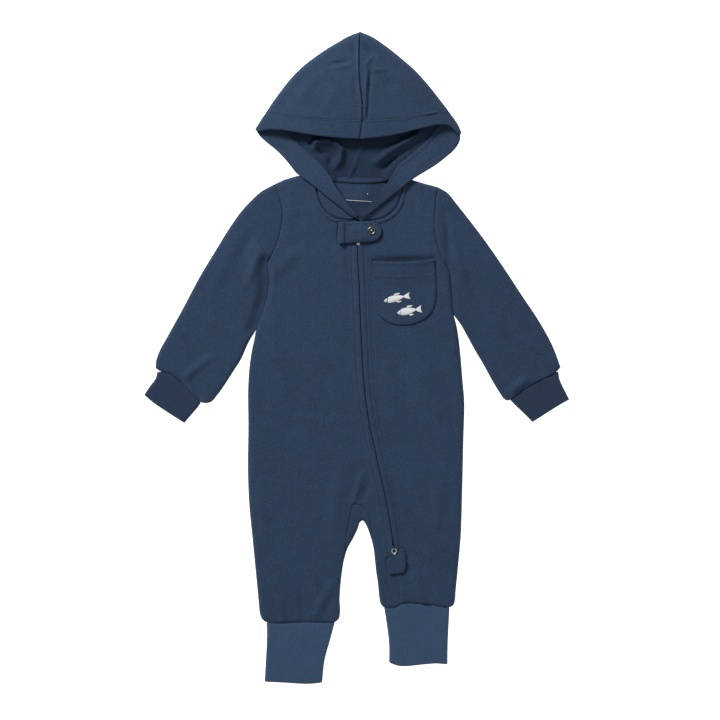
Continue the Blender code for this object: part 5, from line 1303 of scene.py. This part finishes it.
def build_hood_corners():
    """The hood's front corners, from the neck seam to the roll under the hem."""
    for name, table in (("hood_corner_right", CORNER_RIGHT), ("hood_corner_left", CORNER_LEFT)):
        rows = []
        for neck_x, neck_y, roll_x, roll_y, neck_z, roll_z in table:
            shares = np.linspace(0, 1, 12)[:, None]
            cut = np.array([roll_x - neck_x, roll_y - neck_y])
            p = np.array([neck_x, neck_y]) + (0.04 + 0.96 * shares) * cut
            rows.append(np.column_stack([p, neck_z - CLOTH / 2 + shares[:, 0] * (roll_z - neck_z)]))
        rows = np.array(rows)
        dense = smooth(rows.reshape(len(rows), -1), 5.0).reshape(-1, 12, 3)
        dense = np.array([along(row, spaced(20)) for row in dense])
        reach = run_of(dense[len(dense) // 2])[-1] * spaced(20)
        dense[..., 2] += (0.5 * fade(abs(reach - 4) / 3) - 0.9 * fade(reach / 2.2))[None, :]
        dense[..., 2] -= CORNER_FALL * fade((reach[-1] - reach) / 7.0)[None, :]
        outer, inner = thickened(dense, CLOTH)
        if outer[4, 8, 2] < inner[4, 8, 2]:
            outer, inner = inner, outer
        wall(name, outer, inner, "jersey", dense[..., :2])


def ribbon(name, middle, profile, finish, **facts):
    """A bar along a plan line, with a closed profile of offsets and heights."""
    rings = np.stack([np.column_stack([shifted(middle, o), np.full(len(middle), z)]) for o, z in profile], 1)
    rows, count = rings.shape[:2]
    ends = [[*range(count)], [*range(rows * count - 1, (rows - 1) * count - 1, -1)]]
    faces = [*quads(rows, count, True).tolist(), *ends]
    run = run_of(middle)
    across = [o for o, _ in profile]
    grain = np.stack(np.broadcast_arrays(np.array(across)[None, :], run[:, None]), -1).reshape(-1, 2)
    return make(name, rings.reshape(-1, 3), faces, finish, grain, **facts)


def build_neck_tape():
    """The tape over the seam at the back of the neck, which is sewn to the back along both edges."""
    middle = smooth(NECK_TAPE, 2.5)
    turns = np.linspace(0, pi, 13)
    arc = [(-3.1 * cos(t), 1.8 + 1.3 * sin(t) ** 0.6) for t in turns]
    profile = [*arc, (3.1, 1.75), (-3.1, 1.75)]
    rows = [np.column_stack([shifted(middle, s * 2.2), np.full(len(middle), 3.0)]) for s in (-1, 1)]
    stitch_rows("topstitching_neck_tape", rows)
    return ribbon("back_neck_tape", middle, profile, "jersey")


def build_neck():
    """The bare label, with the row of white thread over its top edge."""
    base = CLOTH + SEAM

    def faces_at(points):
        ends = 0.35 * fade((np.minimum(points[:, 0] + 15, 20 - points[:, 0]) - 2.5) / 1.0)
        wave = 0.25 * np.sin(points[:, 0] / 5.0)
        return base + 0.5 + ends + np.maximum(wave, -0.1), np.full(len(points), base)

    panel("neck_label", LABEL, faces_at, "label", step=1.6)
    line = [(x, 181.9 - 0.07 * (x + 12)) for x in np.arange(-12.4, 16.6, 1.4)]
    starts = [(x, y, base + 1.0) for x, y in line]
    ends = [(x + 1.5, y - 0.1, base + 1.0) for x, y in line]
    starts.append((12.2, 189.8, 2.0))
    ends.append((12.9, 188.0, 2.0))
    threads("label_border_thread", starts, ends, 0.32, "embroidery")


# ---------------------------------------------------------------- pieces on the front


def pocket_faces(points):
    """Top and underside of the pocket, which gapes at its mouth and has a turned hem there."""
    outline = np.array(POCKET, float)
    mouth = np.array([POCKET[0], *POCKET[:-4:-1], POCKET[-4]], float)
    base = front_faces(points, fine=False)[0]
    depth = distance(points, stepped(mouth, 3.0))
    seam = smooth(POCKET[:15])
    sides = 1 - fade(distance(points, seam) / 24)
    gape = POCKET_GAPE * fade(depth / 34) * sides
    rim = np.minimum(distance(points, seam), depth)
    cloth = CLOTH + 0.6 * fade((depth - 2.0) / 4.0) + 0.4 * fade(abs(depth - POCKET_HEM - 1.0) / 2.4)
    stitches = groove(abs(distance(points, seam) - POCKET_INSET), 0.9, 0.25)
    cloth = cloth - 1.1 * (1 - rise(rim / 1.6)) + stitches
    cloth = cloth + groove(abs(depth - POCKET_HEM + 1.2), 1.2, 0.3)
    under = base + SEAM + gape
    return under + np.maximum(cloth, 0.3), under


def build_pocket():
    """The patch pocket and its topstitching."""
    outline = smooth([*POCKET[:15]], 2.5)
    mouth = np.array([POCKET[14], *POCKET[15:], POCKET[0]], float)
    ring = np.vstack([outline, smooth(mouth, 2.5)[1:-1]])
    lines = [ring, np.array(mouth) - (0, POCKET_HEM)]
    panel("pocket", ring, pocket_faces, "jersey", lines, 1.8)
    top = lambda p: pocket_faces(p)[0]
    seam = shifted(outline, POCKET_INSET)[2:-2]
    hem = shifted(smooth(mouth[::-1], 2.5), -(POCKET_HEM - 1.2))[1:-1]
    stitch_rows("topstitching_pocket", [on_cloth(seam, top), on_cloth(hem, top)])


def guard_faces(points):
    """Top and underside of the chin guard, which bulges over the slider below it."""
    near = np.linalg.norm(points - np.array(TOP_SLIDER), axis=1)
    under = BODY_HEIGHT + 0.8 + SEAM + GUARD_BULGE * fade((near - 4.8) / 11.0)
    end = np.sqrt(np.clip(1 - ((points[:, 0] - CHIN_FOLD_X + 3.6) / 3.6) ** 2, 0, 1))
    closed = smooth([*CHIN_GUARD, CHIN_GUARD[0]], 2.0)
    rim = distance(points, closed)
    top = under + HEM + 1.3 * end - 1.5 * (1 - rise(rim / 2.0)) + groove(abs(rim - 3.2), 1.2, 0.45)
    return top + groove(abs(points[:, 0] - CHIN_FOLD_X - 0.9), 1.3, 1.2), under


def build_chin_guard():
    """The tab over the top of the zip, with its stitching and press stud."""
    outline = smooth([*CHIN_GUARD, CHIN_GUARD[0]], 1.5)[:-1]
    panel("chin_guard", outline, guard_faces, "jersey", [outline], 1.3)
    top = lambda p: guard_faces(p)[0]
    ring = shifted(np.vstack([outline, outline[:1]]), 2.6)
    ring = ring[ring[:, 0] > CHIN_FOLD_X + 2]
    start = int(np.argmax(np.linalg.norm(np.diff(ring, axis=0), axis=1))) + 1
    ring = np.roll(ring, -start, axis=0)
    stitch_rows("topstitching_chin_guard", [on_cloth(ring, top)])
    seat = float(guard_faces(np.array([[SNAP.x, SNAP.y]]))[0][0]) + SEAM
    lathe("press_stud_ring", SNAP, seat, SNAP_RING, "brass", nodes=["snap_ring"])
    lathe("snap_cloth", SNAP, seat, SNAP_CLOTH, "jersey")
    lathe("snap_centre", Point(SNAP.x - 0.2, SNAP.y + 0.2), seat, SNAP_CENTRE, "nickel")


def lathe(name, centre, seat, profile, finish, **facts):
    """A turned piece round a vertical axis, from a closed profile of radii and heights."""
    steps = 48
    angles = np.arange(steps) * tau / steps
    points = np.array([
        [(centre.x + r * cos(a), centre.y + r * sin(a), seat + z) for r, z in profile] for a in angles
    ])
    count = len(profile)
    index = np.arange(steps * count).reshape(steps, count)
    after, right = np.roll(index, -1, axis=0), np.roll(index, -1, axis=1)
    faces = np.stack([index, right, np.roll(right, -1, axis=0), after], -1).reshape(-1, 4)
    return make(name, points.reshape(-1, 3), faces.tolist(), finish, points.reshape(-1, 3)[:, :2], **facts)


def build_zip():
    """Zip tape and coil, and the topstitching beside the zip, round the neck and up the hood."""
    line = between(smooth(ZIP_LINE, 2.0), TAPE_TOP_Y, TAPE_BOTTOM_Y)
    half, under, top, bed = TAPE_HALF, TAPE_TOP - TAPE, TAPE_TOP, TAPE_TOP + 0.25
    profile = [(-half, under), (-half, top), (-1.6, top), (-1.2, bed)]
    profile += [(-offset, z) for offset, z in profile[::-1]]
    ribbon("zip_tape", line, profile, "tape", nodes=["zip_chain"])
    pitch = size("coil")
    run = np.arange(2.0, run_of(line)[-1] - 2.0, pitch / 2)
    middle = at_runs(line, run)
    step = np.gradient(middle, axis=0)
    left = np.stack([-step[:, 1], step[:, 0]], 1) / np.linalg.norm(step, axis=1)[:, None]
    side = np.where(np.arange(len(run)) % 2, 1.0, -1.0)[:, None]
    parted = np.array([fade((np.linalg.norm(middle - np.array(LOW_SLIDER), axis=1) - 4) / 3)]).T * 0.5
    height = np.full((len(run), 1), top + 0.55)
    starts = np.hstack([middle + left * side * (1.35 + parted), height - 0.25])
    ends = np.hstack([middle - left * side * (0.35 - 2 * parted), height + 0.1])
    threads("zip_coil", starts, ends, 0.33, "coil")
    stitch_rows("topstitching_front", [on_cloth(row, front_top) for row in [*ZIP_STITCHES, *NECK_STITCHES]])
    stitch_rows("topstitching_hood", [hood_seam_stitches()])


def hood_seam_stitches():
    """Topstitching to the wearer's right of the hood's centre seam."""
    line = stepped(shifted(smooth(HOOD_TOP_SEAM), HOOD_INSET), 2.0)[1:-2]
    z = hood_height(line) + hood_top_lift(line) * rise(distance(line, HOOD_RIM) / (3 * HOOD_ROLL))
    d = distance(line, HOOD_RIM)
    z = z - (hood_height(line) - HOOD_MIDDLE) * (1 - rise(d / HOOD_ROLL))
    return np.column_stack([line, z + 0.1])


def polished(name, node_name, body, bevel, finish):
    """A metal piece cast after its CAD node, with softened edges."""
    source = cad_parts[node_name]
    bm = bmesh.new()
    bm.from_mesh(source.data)
    bm.transform(source.matrix_world)
    bmesh.ops.remove_doubles(bm, verts=bm.verts, dist=0.005 * MM)
    bmesh.ops.dissolve_limit(bm, angle_limit=radians(3), verts=bm.verts, edges=bm.edges)
    sharp = [e for e in bm.edges if len(e.link_faces) == 2 and e.calc_face_angle(0) > radians(28)]
    cut = {"offset": bevel * MM, "segments": 3, "profile": 0.6, "affect": "EDGES", "clamp_overlap": True}
    bmesh.ops.bevel(bm, geom=sharp, **cut)
    mesh = bpy.data.meshes.new(name)
    bm.to_mesh(mesh)
    bm.free()
    mesh.shade_smooth()
    mesh.set_sharp_from_angle(angle=radians(40))
    mesh.materials.append(finish_of(finish))
    return placed(name, mesh, body, [node_name])


def build_sliders():
    """Enamelled bodies of both sliders, the bare nose under the tab and the pull's ring."""
    for name in ("zip_slider_top", "zip_slider_low"):
        polished(f"{name}_body", name, "garment", 0.16, "enamel")
    lathe("zip_slider_top_nose", Point(1.6, 131.6), BODY_HEIGHT + 0.5, SLIDER_NOSE, "nickel")
    polished("zip_pull_ring", "zip_pull", "pull", 0.14, "nickel")


def build_patch():
    """The patch over the lower end of the zip."""
    outline = smooth([*ZIP_PATCH, ZIP_PATCH[0]], 1.2)[:-1]
    seat = BODY_HEIGHT + 0.8 + SEAM
    closed = np.vstack([outline, outline[:1]])

    def faces_at(points):
        rim = distance(points, closed)
        top = seat + PATCH - 1.5 * (1 - rise(rim / 1.8)) + groove(abs(rim - PATCH_INSET), 0.8, 0.3)
        return top + 0.3 * ripple(points, 9.0), np.full(len(points), seat)

    panel("zip_patch", outline, faces_at, "jersey", [outline], 1.3)
    ring = shifted(closed, PATCH_INSET)
    stitch_rows("topstitching_patch", [on_cloth(ring, lambda p: faces_at(p)[0])])


# ---------------------------------------------------------------- embroidery


def fish(centre, long, tall, tilt):
    """Satin stitches of a plain fish: an almond body, a forked tail and a fin on its back and belly."""
    turn = np.array([[cos(tilt), -sin(tilt)], [sin(tilt), cos(tilt)]])
    pairs = []
    for x in np.arange(-0.5, 0.28, 0.62 / long):
        share = (x + 0.5) / 0.78
        half = 0.5 * tall * np.sin(pi * share**0.8) ** 0.75 + 0.15
        if 0.13 < share < 0.17:
            continue
        pairs.append(((x * long - 0.8, -half), (x * long + 0.8, half)))
    for t in np.linspace(-1, 1, 12):
        pairs.append(((0.27 * long, 0.12 * tall * t), (0.5 * long - 0.8 * (1 - abs(t)), 0.5 * tall * t)))
    for t in np.linspace(0, 1, 6):
        x = (-0.12 + 0.16 * t) * long
        pairs.append(((x, 0.46 * tall), (x + 0.1 * long, 0.78 * tall - 0.1 * tall * t)))
    for t in np.linspace(0, 1, 4):
        x = (-0.06 + 0.12 * t) * long
        pairs.append(((x, -0.46 * tall), (x + 0.09 * long, -0.72 * tall + 0.08 * tall * t)))
    pairs = np.array(pairs) @ turn.T + np.array(centre)
    return pairs[:, 0], pairs[:, 1]


def build_embroidery():
    """Two plain fish in satin stitch on the pocket."""
    starts, ends = [], []
    for centre, long, tall, tilt in (((46.5, 68.5), 30, 7.6, 0.2), ((61.0, 54.0), 28, 8.4, 0.15)):
        a, b = fish(centre, long, tall, tilt)
        starts.append(a)
        ends.append(b)
    a, b = np.vstack(starts), np.vstack(ends)
    lifted = [np.column_stack([p, pocket_faces(p)[0] + 0.12]) for p in (a, b)]
    threads("embroidery", *lifted, 0.36, "embroidery", arch=0.6)


# ---------------------------------------------------------------- studio


def build_stage():
    """White paper, a soft key from the hood's side, a weak fill from the feet, and the camera overhead."""
    mesh = bpy.data.meshes.new("backdrop")
    corners = [(x * FLOOR_REACH, y * FLOOR_REACH, FLOOR_Z) for x, y in ((-1, -1), (1, -1), (1, 1), (-1, 1))]
    mesh.from_pydata(corners, [], [(0, 1, 2, 3)])
    made, tree, principled, _ = surface("matt_white_paper", "backdrop", Roughness=0.95, Emission_Strength=1.0)
    principled.inputs["Emission Color"].default_value = (1, 1, 1, 1)
    place = node(tree, "ShaderNodeTexCoord").outputs["Object"]
    fibre = node(tree, "ShaderNodeTexNoise", {"Vector": place, "Scale": 400.0, "Detail": 2.0})
    dressed(tree, principled, fibre.outputs["Fac"], 0.05, 0.1)
    mesh.materials.append(made)
    linked("backdrop", mesh)

    world = bpy.data.worlds.new("studio")
    world.use_nodes = True
    sky = world.node_tree.nodes["Background"].inputs
    sky["Color"].default_value = (1, 1, 1, 1)
    sky["Strength"].default_value = WORLD_LIGHT
    bpy.context.scene.world = world
    for name, place, wide, power in LAMPS:
        light = bpy.data.lights.new(name, "AREA")
        light.shape, light.size, light.energy = "DISK", wide, power
        lamp = linked(name, light)
        lamp.location = place
        lamp.rotation_euler = (-Vector(place)).to_track_quat("-Z", "Y").to_euler()
    lens = bpy.data.cameras.new("camera")
    lens.lens, lens.sensor_width = 85, 36
    camera = linked("camera", lens)
    camera.location = CAMERA
    bpy.context.scene.camera = camera
    bpy.context.scene.view_settings.view_transform = "Standard"


# The studio, in metres and watts
FLOOR_REACH, FLOOR_Z = 4.0, -0.0003
WORLD_LIGHT = 0.16
CAMERA = (0.0038, -0.0026, 1.963)
LAMPS = [("softbox_key", (-1.2, 1.8, 1.35), 0.7, 73.0), ("softbox_fill", (0.9, -1.5, 1.5), 0.9, 16.0)]


# ---------------------------------------------------------------- add-on


class ROMPER_OT_back(bpy.types.Operator):
    """Back of the body and legs, and the gusset folded over the crotch"""

    bl_idname = "romper.back"
    bl_label = "Back and gusset"

    def execute(self, context):
        build_back()
        build_gusset()
        return {"FINISHED"}


class ROMPER_OT_fronts(bpy.types.Operator):
    """Both fronts, from the neckline to the leg ends"""

    bl_idname = "romper.fronts"
    bl_label = "Fronts"

    def execute(self, context):
        build_fronts()
        return {"FINISHED"}


class ROMPER_OT_sleeves(bpy.types.Operator):
    """Set-in sleeves"""

    bl_idname = "romper.sleeves"
    bl_label = "Sleeves"

    def execute(self, context):
        build_sleeves()
        return {"FINISHED"}


class ROMPER_OT_cuffs(bpy.types.Operator):
    """Rib cuffs of the sleeves and legs"""

    bl_idname = "romper.cuffs"
    bl_label = "Cuffs"

    def execute(self, context):
        build_cuffs()
        return {"FINISHED"}


class ROMPER_OT_hood(bpy.types.Operator):
    """Both halves of the hood and its front corners"""

    bl_idname = "romper.hood"
    bl_label = "Hood"

    def execute(self, context):
        build_hood()
        build_hood_corners()
        return {"FINISHED"}


class ROMPER_OT_hood_hem(bpy.types.Operator):
    """Turned hem of the face opening, with its stitching"""

    bl_idname = "romper.hood_hem"
    bl_label = "Hood hem"

    def execute(self, context):
        build_hood_hem()
        return {"FINISHED"}


class ROMPER_OT_neck(bpy.types.Operator):
    """Bare label inside the back neck, with its white thread; the tape is made with the back"""

    bl_idname = "romper.neck"
    bl_label = "Neck tape and label"

    def execute(self, context):
        build_neck()
        return {"FINISHED"}


class ROMPER_OT_zip(bpy.types.Operator):
    """Zip tape, its coil and the topstitching beside it"""

    bl_idname = "romper.zip"
    bl_label = "Zip"

    def execute(self, context):
        build_zip()
        return {"FINISHED"}


class ROMPER_OT_sliders(bpy.types.Operator):
    """Both sliders and the small pull"""

    bl_idname = "romper.sliders"
    bl_label = "Sliders and pull"

    def execute(self, context):
        build_sliders()
        return {"FINISHED"}


class ROMPER_OT_pocket(bpy.types.Operator):
    """Patch pocket with its stitching and embroidery"""

    bl_idname = "romper.pocket"
    bl_label = "Pocket and embroidery"

    def execute(self, context):
        build_pocket()
        build_embroidery()
        return {"FINISHED"}


class ROMPER_OT_tabs(bpy.types.Operator):
    """Chin guard with its press stud, and the patch over the end of the zip"""

    bl_idname = "romper.tabs"
    bl_label = "Chin guard and patch"

    def execute(self, context):
        build_chin_guard()
        build_patch()
        return {"FINISHED"}


class ROMPER_OT_stage(bpy.types.Operator):
    """Paper, soft light and camera"""

    bl_idname = "romper.stage"
    bl_label = "Stage"

    def execute(self, context):
        build_stage()
        return {"FINISHED"}


OPERATORS = (
    ROMPER_OT_stage, ROMPER_OT_back, ROMPER_OT_fronts, ROMPER_OT_sleeves, ROMPER_OT_cuffs, ROMPER_OT_hood,
    ROMPER_OT_hood_hem, ROMPER_OT_neck, ROMPER_OT_zip, ROMPER_OT_sliders, ROMPER_OT_pocket, ROMPER_OT_tabs,
)


class ROMPER_PT_panel(bpy.types.Panel):
    """Sizes, colours and steps of the romper"""

    bl_idname = "ROMPER_PT_panel"
    bl_label = "Romper"
    bl_space_type = "VIEW_3D"
    bl_region_type = "UI"
    bl_category = "Romper"

    def draw(self, context):
        for group in (context.scene.romper_sizes, context.scene.romper_colours):
            for name in group.__annotations__:
                self.layout.prop(group, name)
        for step in OPERATORS:
            self.layout.operator(step.bl_idname)


CLASSES = (RomperSizes, RomperColours, *OPERATORS, ROMPER_PT_panel)


def register():
    for made in CLASSES:
        bpy.utils.register_class(made)
    bpy.types.Scene.romper_sizes = bpy.props.PointerProperty(type=RomperSizes)
    bpy.types.Scene.romper_colours = bpy.props.PointerProperty(type=RomperColours)


def unregister():
    del bpy.types.Scene.romper_colours
    del bpy.types.Scene.romper_sizes
    for made in reversed(CLASSES):
        bpy.utils.unregister_class(made)


def main():
    register()
    for step in OPERATORS:
        getattr(bpy.ops.romper, step.bl_idname.split(".")[1])()


if __name__ == "__main__":
    main()
